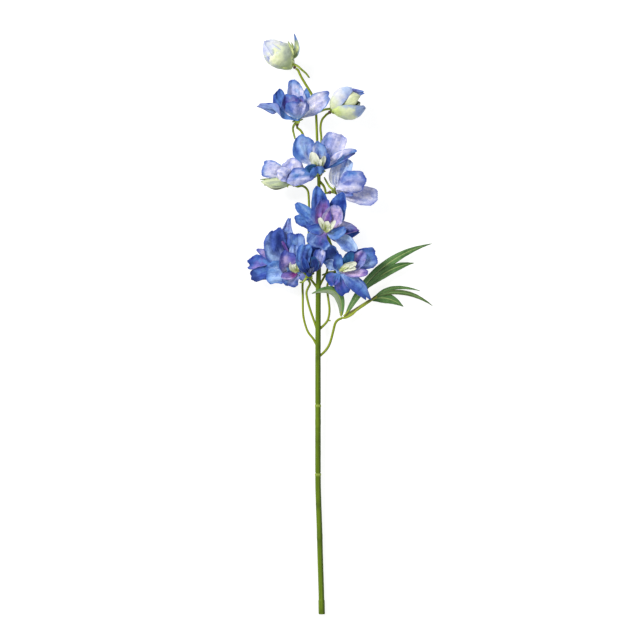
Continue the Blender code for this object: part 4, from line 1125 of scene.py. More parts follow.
def petal_finish(name):
    """Dyed polyester cloth: throat, rim and blots bleeding into the body, over a fine weave."""
    finish = Finish(name, Sheen_Weight=0.12, Sheen_Roughness=0.45, Specular_IOR_Level=0.2)
    colours = bpy.context.scene.delphinium_colours
    place = finish.place()
    u, side = finish.unwrapped("petal")
    x, y = finish.unwrapped("cloth")
    turn = finish.value("petal_turn")
    across = abs(side * 2 - 1)
    patches = finish.noise(place, 85)
    mottle = finish.noise(place, 300, 4)
    grain = finish.noise(place, 1300, 3)
    streaks = finish.noise(finish.vector(side * 9, u * 1.6, turn * 20), 1, 3, 0.4)

    # Dyes that bleed into each other
    drift = (mottle - 0.5) * 0.35
    spread = finish.noise(finish.vector(x * 0.13, y * 0.09, turn * 40), 1, 3)
    blots = finish.fade(spread + drift * 0.4, 0.48, 0.64)
    colour = finish.mix(blots * 0.75, finish.dye("body_dye"), finish.dye("blot_dye"))
    side_rim = finish.fade(across + drift * 1.4, 0.66, 1.04) * finish.fade(u, 0.2, 0.55)
    tip_rim = finish.fade(u + finish.value("plain") * 0.16 + (patches - 0.5) * 0.3 + drift * 0.6,
                          0.78, 1.0)
    rim = finish.larger(side_rim, tip_rim)
    colour = finish.mix(rim * 0.85, colour, finish.dye("rim_dye"))
    throat = 1 - finish.fade(u + (patches - 0.5) * 0.3 + (streaks - 0.5) * 0.3, 0.10, 0.56)
    colour = finish.mix(throat, colour, finish.dye("throat_dye"))

    # Where the cloth took less dye or more, and painted light and shade over broad patches and
    # folds
    raised = finish.value("raised")
    # Painted light and shade: broad paler and darker patches over each petal
    broad_shading = finish.noise(finish.vector(side * 1.9, u * 1.5, turn * 60), 1, 2) + drift * 0.3
    colour = finish.mix(finish.fade(broad_shading, 0.52, 0.66) * 0.6, colour, THIN_DYE_AND_HIGHLIGHT, "MULTIPLY")
    colour = finish.mix((1 - finish.fade(broad_shading, 0.34, 0.48)) * 0.8, colour, colours.soaked,
                        "MULTIPLY")
    dyed = 1 - finish.value("plain") * 0.75
    # Painted highlight: raised folds are painted paler
    uptake_and_highlight = mottle * 0.6 + streaks * 0.4 + (grain - 0.5) * 0.3 + raised * 0.06
    pale = finish.fade(uptake_and_highlight, 0.46, 0.64)
    colour = finish.mix(pale * dyed * 0.85, colour, THIN_DYE_AND_HIGHLIGHT, "MULTIPLY")
    pools = finish.noise(place, 170, 3, 0.6)
    # Painted shade: sunk folds are painted darker
    deep = finish.fade(pools + (grain - 0.5) * 0.35 - raised * 0.08, 0.50, 0.66)
    colour = finish.mix(deep * dyed * 0.85, colour, colours.soaked, "MULTIPLY")
    rays = finish.wave((side - 0.5) * 40 * (1.2 - 0.4 * u) + (mottle - 0.5) * 4)
    veins = (1 - finish.fade(abs(rays), 0.0, 0.4)) * finish.fade(u, 0.05, 0.3)
    colour = finish.mix(veins * 0.2, colour, colours.soaked, "MULTIPLY")
    edge = finish.larger(across * finish.fade(u, 0.3, 0.6), u)
    cut = finish.fade(edge + drift * 0.05, 0.93, 0.985)
    colour = finish.mix(cut * 0.8, colour, colours.soaked, "MULTIPLY")
    colour = finish.mix(finish.value("underside") * 0.16, colour, colours.bleached)

    # Relief, in millimetres
    weave = finish.wave(x * 14) * finish.wave(y * 14) * 0.018
    crinkle = finish.noise(place, 620, 2) * 0.35 + finish.noise(place, 230, 2) * 1.2
    height = weave + crinkle - veins * 0.1
    finish.connect(Base_Color=colour, Roughness=0.7 + grain * 0.2, Normal=finish.bump(height, 0.7))
    return finish.material


def stem_finish(name):
    """Moulded plastic, streaked, painted darker down one side as painted shade, with pale joints.
    """
    finish = Finish(name, Specular_IOR_Level=0.15)
    colours = bpy.context.scene.delphinium_colours
    place = finish.place()
    split = finish.add("ShaderNodeSeparateXYZ", inputs={0: place})
    x, y, z = split, split.at(1), split.at(2)
    streaks = finish.noise(finish.vector(x * 900, y * 22, z * 900), 1, 3)
    patches = finish.noise(place, 45, 3)
    specks = finish.noise(place, 1500, 2)
    thin = 1 - finish.fade(finish.value("girth"), 0.00105, 0.0021)
    colour = finish.mix(finish.fade(streaks, 0.35, 0.68), colours.stem, colours.stem_light)
    colour = finish.mix(finish.fade(patches, 0.5, 0.68) * 0.5, colour, colours.stem_deep)
    colour = finish.mix(thin * 0.75, colour, colours.stalk)
    # Painted shade: the side of the stem and stalks turned away from the key lamp is painted darker
    sprayed = finish.fade(finish.value("sprayed") + (streaks - 0.5) * 0.5, 0.0, 0.5)
    colour = finish.mix(sprayed * (0.72 - 0.3 * thin), colour, colours.stem_deep)
    colour = finish.mix(finish.value("joint") * 0.75, colour, colours.joint)
    colour = finish.mix(finish.fade(specks, 0.64, 0.72) * 0.4, colour, colours.stem_deep)
    height = streaks * 0.16 + specks * 0.04 + patches * 0.2
    finish.connect(Base_Color=colour, Roughness=0.4 + patches * 0.2, Normal=finish.bump(height))
    return finish.material


def leaf_finish(name):
    """Printed leaf cloth: paler veins, darker edges, a greyish underside and a brown petiole."""
    finish = Finish(name, Specular_IOR_Level=0.3, Sheen_Weight=0.15)
    colours = bpy.context.scene.delphinium_colours
    place = finish.place()
    u, side = finish.unwrapped("petal")
    across = abs(side * 2 - 1)
    mottle = finish.noise(place, 260, 4)
    patches = finish.noise(place, 70, 2)
    grain = finish.noise(place, 1400, 3)
    colour = finish.mix(finish.fade(patches + (mottle - 0.5) * 0.4, 0.36, 0.66), colours.leaf,
                        colours.leaf_light)
    ribs = finish.wave((u * 34 - across * 9) + (mottle - 0.5) * 1.2)
    laterals = (1 - finish.fade(abs(ribs), 0.0, 0.3)) * finish.fade(across, 0.04, 0.2)
    midrib = 1 - finish.fade(across, 0.03, 0.16)
    edge = finish.fade(across + (mottle - 0.5) * 0.3, 0.76, 1.05)
    colour = finish.mix(laterals * 0.3, colour, colours.leaf_vein)
    colour = finish.mix(edge * 0.55, colour, colours.leaf_deep)
    colour = finish.mix(midrib * 0.7, colour, colours.leaf_vein)
    back = finish.larger(finish.value("underside"), finish.value("greyed"))
    colour = finish.mix(back * 0.65, colour, colours.leaf_under)
    rust = finish.value("rust") * finish.fade(across + (mottle - 0.5) * 0.5, 0.25, 0.8)
    colour = finish.mix(rust * 0.8, colour, colours.petiole)
    colour = finish.mix(midrib * finish.value("greyed") * 0.7, colour, colours.leaf_vein)
    brown = finish.fade(side + (mottle - 0.5) * 0.8, 0.4, 0.7) * finish.value("browned")
    bark = finish.mix(brown, colours.stalk, colours.petiole)
    colour = finish.mix(finish.value("petiole"), colour, bark)
    veins = laterals * 0.12 + midrib * 0.2
    height = veins + mottle * 0.25 + grain * 0.05
    finish.connect(Base_Color=colour, Roughness=0.52 + grain * 0.2,
                   Normal=finish.bump(height, 0.8))
    return finish.material


def calyx_finish(name):
    """Moulded green cup and spur, patchy, with lobes that darken towards their feet."""
    finish = Finish(name, Specular_IOR_Level=0.35)
    colours = bpy.context.scene.delphinium_colours
    place = finish.place()
    mottle = finish.noise(place, 420, 3)
    patches = finish.noise(place, 150, 2)
    colour = finish.mix(finish.fade(patches + (mottle - 0.5) * 0.5, 0.38, 0.62), colours.calyx,
                        colours.calyx_light)
    colour = finish.mix(finish.value("fold") * 0.7, colour, colours.stem_deep)
    finish.connect(Base_Color=colour, Roughness=0.45 + mottle * 0.2,
                   Normal=finish.bump(mottle * 0.3 + patches * 0.3))
    return finish.material


def collar_finish(name):
    """Glossy red-brown bead, unevenly dipped."""
    finish = Finish(name, Specular_IOR_Level=0.5, Coat_Roughness=0.15)
    colours = bpy.context.scene.delphinium_colours
    place = finish.place()
    mottle = finish.noise(place, 700, 3)
    colour = finish.mix(finish.fade(mottle, 0.4, 0.62), colours.collar, colours.collar_light)
    finish.connect(Base_Color=colour, Roughness=0.25 + mottle * 0.25, Coat_Weight=mottle * 0.6,
                   Normal=finish.bump(mottle * 0.25))
    return finish.material


def bee_finish(name):
    """Cream cloth tuft that runs to yellow green at its foot and to brown at its threads."""
    finish = Finish(name, Sheen_Weight=0.3, Specular_IOR_Level=0.2)
    colours = bpy.context.scene.delphinium_colours
    place = finish.place()
    height = finish.value("height")
    mottle = finish.noise(place, 500, 3)
    grain = finish.noise(place, 1600, 2)
    colour = finish.mix(finish.fade(height + (mottle - 0.5) * 0.5, 0.1, 0.6), colours.bee_foot,
                        colours.bee)
    colour = finish.mix(finish.value("thread"), colour, colours.bee_thread)
    colour = finish.mix(finish.fade(mottle, 0.56, 0.7) * 0.2, colour, colours.bee_foot)
    # Painted shade: a tuft deep in a dark bloom is painted almost navy
    colour = finish.mix(finish.value("dusk"), colour, colours.bee_dusk)
    finish.connect(Base_Color=colour, Roughness=0.7 + grain * 0.2,
                   Normal=finish.bump(mottle * 0.4 + grain * 0.1))
    return finish.material


FINISHES = {
    "stem_green": stem_finish,
    "leaf_green": leaf_finish,
    "calyx_green": calyx_finish,
    "collar_brown": collar_finish,
    "bee_cream": bee_finish,
    "petal_pale_green": petal_finish,
    "petal_pale_lilac": petal_finish,
    "petal_sky_blue": petal_finish,
    "petal_royal_blue": petal_finish,
    "petal_violet": petal_finish,
}


def slot_finish(slot):
    """Material of one of the record's slots, made when it is first asked for."""
    made = bpy.data.materials.get("dressed_" + slot)
    return made or FINISHES[slot]("dressed_" + slot)


def put(name, mesh, *nodes):
    """Piece of a finished mesh, which rides on the spike in place of its CAD nodes."""
    piece = bpy.data.objects.new(name, mesh)
    bpy.context.scene.collection.objects.link(piece)
    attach(piece, "root")
    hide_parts(*nodes)


def node_tree(name, inputs, output):
    """Geometry Nodes tree with the named inputs and output, and the node that gives its inputs."""
    tree = bpy.data.node_groups.new(name, "GeometryNodeTree")
    for label, kind in inputs.items():
        tree.interface.new_socket(label, in_out="INPUT", socket_type="NodeSocket" + kind)
    tree.interface.new_socket(output, in_out="OUTPUT", socket_type="NodeSocketGeometry")
    graph = Graph(tree)
    return graph, graph.add("NodeGroupInput")


def rod_tree():
    """Geometry Nodes tree of round rods along curves, each as thick as its points say."""
    graph, given = node_tree("moulded_rods", {
        "Curves": "Geometry", "Sides": "Int", "Unevenness": "Float", "Unevenness Scale": "Float",
        "Finish": "Material"}, "Rods")
    radius = graph.add("GeometryNodeInputRadius")
    marked = graph.add("GeometryNodeStoreNamedAttribute",
                       {"data_type": "FLOAT", "domain": "POINT"},
                       {"Geometry": given, "Name": "girth", "Value": radius})
    ring = graph.add("GeometryNodeCurvePrimitiveCircle",
                     inputs={"Resolution": given.at("Sides"), "Radius": 1.0})
    tubes = graph.add("GeometryNodeCurveToMesh",
                      inputs={"Curve": marked, "Profile Curve": ring, "Scale": radius,
                              "Fill Caps": True})
    place = graph.add("GeometryNodeInputPosition")
    noise = graph.add("ShaderNodeTexNoise",
                      inputs={"Vector": place, "Scale": given.at("Unevenness Scale"),
                              "Detail": 2.0})
    outwards = graph.add("GeometryNodeInputNormal")
    offset = graph.add("ShaderNodeVectorMath", {"operation": "SCALE"},
                       {0: outwards, "Scale": (noise - 0.5) * given.at("Unevenness")})
    uneven = graph.add("GeometryNodeSetPosition", inputs={"Geometry": tubes, "Offset": offset})
    painted = graph.add("GeometryNodeSetMaterial",
                        inputs={"Geometry": uneven, "Material": given.at("Finish")})
    whole = graph.add("GeometryNodeRealizeInstances", inputs={"Geometry": painted})
    graph.add("NodeGroupOutput", inputs={0: whole})
    return graph.tree


def thread_tree():
    """Geometry Nodes tree of fine tapered threads that stand on the faces of a mesh."""
    graph, given = node_tree("tuft_threads", {
        "Tuft": "Geometry", "Thread Length": "Float", "Thread Radius": "Float",
        "Spacing": "Float", "Seed": "Int", "Finish": "Material"}, "Threads")
    points = graph.add("GeometryNodeDistributePointsOnFaces",
                       {"distribute_method": "POISSON"},
                       {"Mesh": given, "Distance Min": given.at("Spacing"),
                        "Density Max": 3.0e6, "Seed": given.at("Seed")})
    thread = graph.add("GeometryNodeMeshCone",
                       inputs={"Vertices": 4, "Radius Top": given.at("Thread Radius") * 0.4,
                               "Radius Bottom": given.at("Thread Radius"),
                               "Depth": given.at("Thread Length")})
    size = graph.add("FunctionNodeRandomValue", {"data_type": "FLOAT"},
                     {2: 0.5, 3: 1.15, "Seed": given.at("Seed")}, 1)
    lean = graph.add("FunctionNodeRandomValue", {"data_type": "FLOAT_VECTOR"},
                     {0: (-0.5, -0.5, -3.0), 1: (0.5, 0.5, 3.0), "Seed": given.at("Seed")})
    aim = graph.add("FunctionNodeRotateRotation", {"rotation_space": "LOCAL"},
                    {0: points.at("Rotation"), 1: lean})
    placed = graph.add("GeometryNodeInstanceOnPoints",
                       inputs={"Points": points, "Instance": thread, "Rotation": aim,
                               "Scale": size})
    whole = graph.add("GeometryNodeRealizeInstances", inputs={"Geometry": placed})
    painted = graph.add("GeometryNodeSetMaterial",
                        inputs={"Geometry": whole, "Material": given.at("Finish")})
    graph.add("NodeGroupOutput", inputs={0: painted})
    return graph.tree


def grown(source, tree, **settings):
    """Plain mesh that a Geometry Nodes tree makes of an object with the given inputs."""
    modifier = source.modifiers.new(tree.name, "NODES")
    modifier.node_group = tree
    sockets = {item.name: item.identifier for item in tree.interface.items_tree
               if item.in_out == "INPUT"}
    for name, value in settings.items():
        modifier[sockets[name.replace("_", " ")]] = value
    bpy.context.scene.collection.objects.link(source)
    depsgraph = bpy.context.evaluated_depsgraph_get()
    mesh = bpy.data.meshes.new_from_object(source.evaluated_get(depsgraph))
    source.modifiers.clear()
    bpy.data.objects.remove(source, do_unlink=True)
    return mesh


def rods(name, runs, finish, sides, unevenness, fineness):
    """Plain mesh of round rods, from runs of places and radii in millimetres."""
    curve = bpy.data.curves.new(name, "CURVE")
    curve.dimensions = "3D"
    for places, radii in runs:
        spline = curve.splines.new("POLY")
        spline.points.add(len(places) - 1)
        spline.use_smooth = True
        for point, place, radius in zip(spline.points, to_row_frame(places), radii):
            point.co = (*place, 1.0)
            point.radius = radius * MM
    source = bpy.data.objects.new(name, curve)
    mesh = grown(source, bpy.data.node_groups.get("moulded_rods") or rod_tree(), Sides=sides,
                 Unevenness=unevenness * MM, Unevenness_Scale=fineness, Finish=finish)
    mesh.shade_smooth()
    mesh.set_sharp_from_angle(angle=math.radians(SHARP_ANGLE))
    bpy.data.curves.remove(curve)
    return mesh


def mark(mesh, **values):
    """Gives a mesh a number for all its points, or one for each, under each of the names."""
    for name, value in values.items():
        layer = mesh.attributes.get(name) or mesh.attributes.new(name, "FLOAT", "POINT")
        layer.data.foreach_set("value", np.full(len(mesh.vertices), value, np.float32))


def point_rows(mesh, kind):
    """Places or normals of a mesh's points, one in each row."""
    flat = np.empty(len(mesh.vertices) * 3, np.float32)
    mesh.vertices.foreach_get(kind, flat)
    return flat.reshape(-1, 3)


def joined(name, meshes):
    """One mesh of several, with the material of the first."""
    parts = []
    for mesh in meshes:
        part = bpy.data.objects.new(name + "_part", mesh)
        bpy.context.scene.collection.objects.link(part)
        parts.append(part)
    with bpy.context.temp_override(active_object=parts[0], selected_editable_objects=parts,
                                   object=parts[0], selected_objects=parts):
        bpy.ops.object.join()
    mesh = parts[0].data
    mesh.name = name
    bpy.data.objects.remove(parts[0], do_unlink=True)
    return mesh


def to_head(head, places, spacing):
    """Smooth run through the places and on to the foot of a head's collar."""
    approach = tuple(along_axis(head, STALK_TOP - STALK_APPROACH))
    run = smooth_run(list(places) + [approach], spacing)
    return np.vstack([run, along_axis(head, STALK_TOP)])


def stem_run():
    """Run and radii of the main stem, with its sleeve, rings and knots."""
    places = [(x, y, stem_height(y)) for x, y in STEM_RUN]
    run = to_head(head_named(STEM_TO_BUD), places, STEM_STEP)
    radii = interpolate(STEM_RADIUS, run[:, 1])
    for place, half, height, sharpness in STEM_SWELLS:
        reach = np.clip(1 - (np.abs(run[:, 1] - place) - half) / sharpness, 0, 1)
        radii = radii + height * ease(reach)
    for place, half, depth in STEM_NOTCHES:
        radii = radii - depth * ease(1 - np.abs(run[:, 1] - place) / half)
    cut = unit(run[1] - run[0]) * STEM_CHAMFER
    run = np.vstack([run[0], run[0] + cut, run[1:]])
    radii = np.concatenate([[radii[0] - STEM_CHAMFER], radii])
    return run, radii


def stalk_run(name, places):
    """Run and radii of a thin stalk, thicker where it leaves the stem and at its head."""
    run = to_head(head_named(name), places, STALK_STEP)
    gone = np.concatenate([[0], np.cumsum(np.linalg.norm(np.diff(run, axis=0), axis=1))])
    foot = STALK_FOOT_SWELL * np.exp(-gone / STALK_FOOT_REACH)
    end = STALK_END_SWELL * np.exp(-((gone[-1] - gone) / STALK_END_REACH) ** 2)
    return run, STALK_RADIUS * (0.97 + foot + end)


class DELPHINIUM_OT_stem(bpy.types.Operator):
    """Make the moulded stem with its joints and the thin stalks that leave it"""

    bl_idname = "delphinium.stem"
    bl_label = "Stem and Stalks"

    def execute(self, context):
        finish = slot_finish("stem_green")
        main = rods("main_stem", [stem_run()], finish, *STEM_ROD)
        up_stem = point_rows(main, "co")[:, 1] / MM + MEASURE_ORIGIN[1]
        joint = sum(np.exp(-((up_stem - place) / JOINT_FADE) ** 2) for place in STEM_JOINTS)
        mark(main, joint=np.clip(joint, 0, 1))
        runs = [stalk_run(name, places) for name, places in STALKS]
        leaf_run = smooth_run(LEAF_STALK, STALK_STEP)
        runs.append((leaf_run, [LEAF_STALK_RADIUS] * len(leaf_run)))
        nub_run = smooth_run(STALK_NUB, STALK_NUB_STEP)
        runs.append((nub_run, np.linspace(*STALK_NUB_RADII, len(nub_run))))
        stalks = rods("stalks", runs, finish, *STALK_ROD)
        mark(stalks, joint=0.0)
        for mesh in (main, stalks):
            # How far each point faces the side that takes the painted shade
            mark(mesh, sprayed=point_rows(mesh, "normal") @ unit(SHADE_SIDE_FROM))
        put("stem_moulded", joined("stem_moulded", [main, stalks]), "stem")
        return {"FINISHED"}


class DELPHINIUM_OT_leaves(bpy.types.Operator):
    """Make the three pointed leaves with pressed veins, on their petioles"""

    bl_idname = "delphinium.leaves"
    bl_label = "Leaves"

    def execute(self, context):
        for index, leaf in enumerate(LEAVES):
            draw = np.random.default_rng(LEAF_SEED + index)
            name = leaf.name + "_cloth"
            put(name, joined(name, [self.blades(leaf, draw), self.petiole(leaf)]), leaf.name)
        return {"FINISHED"}

    def blades(self, leaf, draw):
        """Lobes of a leaf, folded along their midribs, with faintly toothed edges."""
        thickness = bpy.context.scene.delphinium_sizes.leaf_thickness / MM
        hub = np.array(leaf.hub, float)
        mould = Mould()
        for start, lobe in leaf.lobes:
            places, u, v, _, _, _ = blade_sheet(hub + start, hub, UP, lobe, LEAF_GRID, draw,
                                                LEAF_CRUMPLE, LEAF_FRAY)
            fold = 0.10 * (1 - np.abs(v)) ** 2 * ease(u / 0.2) * ease((1 - u) / 0.3)
            teeth = 0.02 * np.sin(34 * u - 9 * np.abs(v)) * np.abs(v)
            sunk = lobe.width * (fold - teeth)
            places = places - surface_normals(places) * sunk[..., None]
            greyed = ease((v - 0.05) / 0.2) * (leaf.name == FOLDED_LEAF)
            add_cloth(mould, places, thickness, petal=np.stack([u, (v + 1) / 2], -1),
                      browned=BROWNED_STALKS[leaf.name], rust=BROWNED[lobe.paint], greyed=greyed,
                      petiole=WING_STALK if lobe.paint == "wing" else 0.0)
        return mould.mesh(leaf.name + "_blades", slot_finish("leaf_green"))

    def petiole(self, leaf):
        """Stalk of a leaf, from inside the stalk that carries it."""
        stalk = np.array(leaf.stalk, float)
        start = stalk[0] - unit(stalk[1] - stalk[0]) * PETIOLE_REACH
        run = smooth_run(np.vstack([start, stalk]), PETIOLE_STEP)
        taper = np.linspace(leaf.stalk_radius, leaf.stalk_radius * PETIOLE_TAPER, len(run))
        petiole = rods(leaf.name + "_petiole", [(run, taper)], slot_finish("leaf_green"),
                       *PETIOLE_ROD)
        mark(petiole, petiole=1.0, browned=BROWNED_STALKS[leaf.name], rust=0.0, greyed=0.0)
        return petiole


def dyes_of(petal):
    """Colours that a petal's paint names."""
    dyes = bpy.context.scene.delphinium_dyes
    return [getattr(dyes, name) for name in PAINTS[petal.paint].split()]


def brushed(body, sides, u, v):
    """Body dye of a petal whose two sides have dyes of their own, brushed into it."""
    wander = 0.22 * np.sin(4.5 * u + 1)
    shares = [ease((v + wander) / 0.6)[..., None], ease((-v - wander) / 0.6)[..., None]]
    return body + sum(share * (np.array(dye) - body) for share, dye in zip(shares, sides))


class DELPHINIUM_OT_petals(bpy.types.Operator):
    """Make the dyed cloth petals of every bloom and bud, layer by layer"""

    bl_idname = "delphinium.petals"
    bl_label = "Petals"

    def execute(self, context):
        for index, head in enumerate(HEADS):
            self.layer(head, "outer", head.outer, 0.0, OUTER_DISC_RADIUS, 2 * index)
            self.layer(head, "inner", head.inner, INNER_DISC_AT, INNER_DISC_RADIUS,
                       2 * index + 1)
        return {"FINISHED"}

    def layer(self, head, layer, blades, disc_at, disc_radius, seed):
        """One layer of a head's petals round its gathered middle."""
        node = "%s_%s_petals" % (head.name, layer)
        draw = np.random.default_rng(PETAL_SEED + seed)
        shells = SHELLS.get("%s_%s" % (head.name, layer), [])
        sheets = self.sheets(head, shells, blades, disc_at, disc_radius, draw)
        thickness = bpy.context.scene.delphinium_sizes.cloth_thickness / MM
        mould = Mould()
        for petal, (places, u, v, x, y, raised) in sheets:
            throat, body, rim, blot, *sides = dyes_of(petal)
            if sides:
                body = brushed(np.array(body), sides, u, v)
            add_cloth(mould, places, thickness, petal=np.stack([u, (v + 1) / 2], -1),
                      cloth=np.stack([x, y], -1), throat_dye=throat, body_dye=body,
                      rim_dye=rim, blot_dye=blot, petal_turn=draw.uniform(), raised=raised,
                      plain=float(isinstance(petal, Shell)))
        throat = dyes_of(sheets[0][0])[0]
        disc = [(disc_at + rise, disc_radius * share) for rise, share in DISC_PROFILE]
        add_turned(mould, head.hub, head_axis(head), disc, DISC_TURNING, petal=(0.02, 0.5),
                   cloth=(0.0, 0.0), throat_dye=throat, body_dye=throat, rim_dye=throat,
                   blot_dye=throat, petal_turn=0.5, raised=0.0, plain=0.0, underside=0.0)
        mesh = mould.mesh(node, slot_finish(SLOTS[node]))
        put(node.replace("petals", "cloth"), mesh, node)

    def sheets(self, head, shells, blades, disc_at, disc_radius, draw):
        """Each petal of a layer with its sheet of cloth, those that wrap a bud first."""
        crumple = bpy.context.scene.delphinium_sizes.crumple / MM
        hub = np.array(head.hub, float)
        sheets = [(shell, shell_sheet(hub, shell, draw, crumple)) for shell in shells]
        for blade in blades:
            root = petal_root(head, blade, disc_at, disc_radius)
            grid, fray = ((PETAL_GRID, PETAL_FRAY) if blade.width > SMALL_PETAL
                          else (SMALL_PETAL_GRID, SMALL_PETAL_FRAY))
            sheets.append((blade, blade_sheet(root, hub, head_axis(head), blade, grid, draw,
                                              crumple, fray)))
        return sheets


class DELPHINIUM_OT_calyxes(bpy.types.Operator):
    """Make the green cup with its spur and the red-brown bead under every head"""

    bl_idname = "delphinium.calyxes"
    bl_label = "Calyxes and Collars"

    def execute(self, context):
        for head in HEADS:
            calyx = head.name + "_calyx"
            put(calyx + "_cup", joined(calyx + "_cup", [self.cup(head), self.spur(head)]), calyx)
            collar = head.name + "_collar"
            put(collar + "_bead", self.bead(head), collar)
        return {"FINISHED"}

    def cup(self, head):
        """Ribbed cup with its five pointed lobes."""
        rise = np.linspace(0, 1, CUP_RINGS)
        rows = list(zip(CALYX_TOP - CALYX_HEIGHT * (1 - rise), interpolate(CALYX_PROFILE, rise)))
        mould = Mould()
        add_turned(mould, head.hub, head_axis(head), rows, CUP_TURNING, fold=0.0, underside=0.0)
        self.lobes(mould, head, BUD_LOBES.get(head.name, 0.0))
        return mould.mesh(head.name + "_cup", slot_finish("calyx_green"))

    def lobes(self, mould, head, hugging):
        """Five pointed lobes that stand out from a cup's rim, or that hug a bud from its foot."""
        length = hugging or BLOOM_LOBE
        axis = head_axis(head)
        u, v = cloth_grid(*LOBE_GRID)
        for lobe in range(LOBES):
            turn = math.radians(lobe * 360 / LOBES + FIRST_LOBE_TURN)
            out = turn_about(first_side(axis), axis, turn)
            side = np.cross(axis, out)
            lean = np.radians(LOBE_LEAN * (0.6 + 0.4 * u))
            reach = CALYX_RADIUS * LOBE_FOOT_SHARE + length * u * np.sin(lean)
            rise = CALYX_TOP - LOBE_FOOT_DEPTH + length * u * np.cos(lean)
            if hugging:
                reach = HUG_RADIUS + HUG_SPREAD * (length * u / HUG_SPREAD) ** 0.85
                rise = CALYX_TOP - CALYX_HEIGHT + HUG_RISE + length * u * 0.9
            taper = (1 - u) ** 0.7 * (1 - 0.25 * np.sin(9 * u + lobe))
            half_width = LOBE_HALF_WIDTH * taper + LOBE_TIP_HALF_WIDTH
            dish = 0.25 * v ** 2 * (1 - u)
            places = (head.hub + axis * (rise + dish)[..., None] + out * reach[..., None]
                      + side * (half_width * v)[..., None])
            add_cloth(mould, places, LOBE_THICKNESS, fold=0.35 * (1 - u))

    def spur(self, head):
        """Thin curved spur that leaves the side of a cup."""
        start = along_axis(head, CALYX_TOP - CALYX_HEIGHT + SPUR_AT)
        run = smooth_run(np.vstack([start, np.add(head.hub, head.spur)]), SPUR_STEP)
        share = np.linspace(0, 1, len(run))
        taper = SPUR_RADIUS * (1 + 0.5 * np.exp(-share / 0.12)) - SPUR_TAPER * share
        taper[-len(SPUR_TIP):] *= SPUR_TIP
        spur = rods(head.name + "_spur", [(run, taper)], slot_finish("calyx_green"), *SPUR_ROD)
        mark(spur, fold=0.0)
        return spur

    def bead(self, head):
        """Round bead of a collar."""
        turn = np.linspace(0, math.pi, BEAD_RINGS)
        rises = COLLAR_TOP - COLLAR_HEIGHT * (0.5 + 0.5 * np.cos(turn))
        radii = np.maximum(COLLAR_END_RADIUS, COLLAR_RADIUS * np.abs(np.sin(turn)) ** 0.75)
        mould = Mould()
        add_turned(mould, head.hub, head_axis(head), list(zip(rises, radii)), BEAD_TURNING)
        return mould.mesh(head.name + "_collar_bead", slot_finish("collar_brown"))


class DELPHINIUM_OT_bees(bpy.types.Operator):
    """Make the cream tuft in the middle of every open bloom"""

    bl_idname = "delphinium.bees"
    bl_label = "Middles of the Blooms"

    def execute(self, context):
        for index, head in enumerate(HEADS):
            if head.name in BEES:
                seed = BEE_SEED + index
                heart = self.heart(head)
                parts = [self.lobes(head, seed), heart, self.threads(head, heart, seed)]
                name = head.name + "_bee_tuft"
                put(name, joined(name, parts), head.name + "_bee")
        return {"FINISHED"}

    def reach(self, head):
        """Way from the foot of a tuft to its tip."""
        return head.hub + np.array(head.bee, float) - along_axis(head, BEE_AT)

    def lobes(self, head, seed):
        """Cream lobes of a tuft."""
        draw = np.random.default_rng(seed)
        hub = np.array(head.hub, float)
        mould = Mould()
        for lobe in BEES[head.name]:
            lime, dusk = BEE_TINTS[lobe.paint]
            places, u, _, _, _, raised = blade_sheet(
                along_axis(head, BEE_AT), hub, head_axis(head), lobe, TUFT_GRID, draw,
                TUFT_CRUMPLE, TUFT_FRAY)
            # Raised folds are painted paler cream and sunk ones greener, as painted highlight and
            # painted shade
            add_cloth(mould, places, BEE_THICKNESS, height=u * (1 - lime) + 0.15 * raised,
                      dusk=dusk, thread=0.0)
        return mould.mesh(head.name + "_lobes", slot_finish("bee_cream"))

    def heart(self, head):
        """Small round body between the lobes."""
        reach = self.reach(head)
        length = np.linalg.norm(reach)
        size = min(head.bee_radius, HEART_WIDEST)
        rows = [(rise * length, share * size) for rise, share in HEART_PROFILE]
        rows.append((HEART_END * length, HEART_END_RADIUS))
        mould = Mould()
        add_turned(mould, along_axis(head, BEE_AT), head_axis(head) + unit(reach), rows,
                   HEART_TURNING, height=0.1, dusk=self.dusk(head), thread=0.0)
        return mould.mesh(head.name + "_heart", slot_finish("bee_cream"))

    def threads(self, head, heart, seed):
        """Fine threads that stand on the heart of a tuft."""
        source = bpy.data.objects.new(head.name + "_tuft", heart.copy())
        length = min(THREAD_SHARE * np.linalg.norm(self.reach(head)), THREAD_LONGEST)
        threads = grown(source, bpy.data.node_groups.get("tuft_threads") or thread_tree(),
                        Thread_Length=length * MM, Thread_Radius=THREAD_RADIUS * MM,
                        Spacing=THREAD_SPACING * MM, Seed=seed, Finish=slot_finish("bee_cream"))
        mark(threads, thread=THREAD_TINT, height=THREAD_TINT, dusk=self.dusk(head))
        return threads

    def dusk(self, head):
        """How dark a tuft is painted as painted shade, as its first lobe says."""
        return BEE_TINTS[BEES[head.name][0].paint][1]


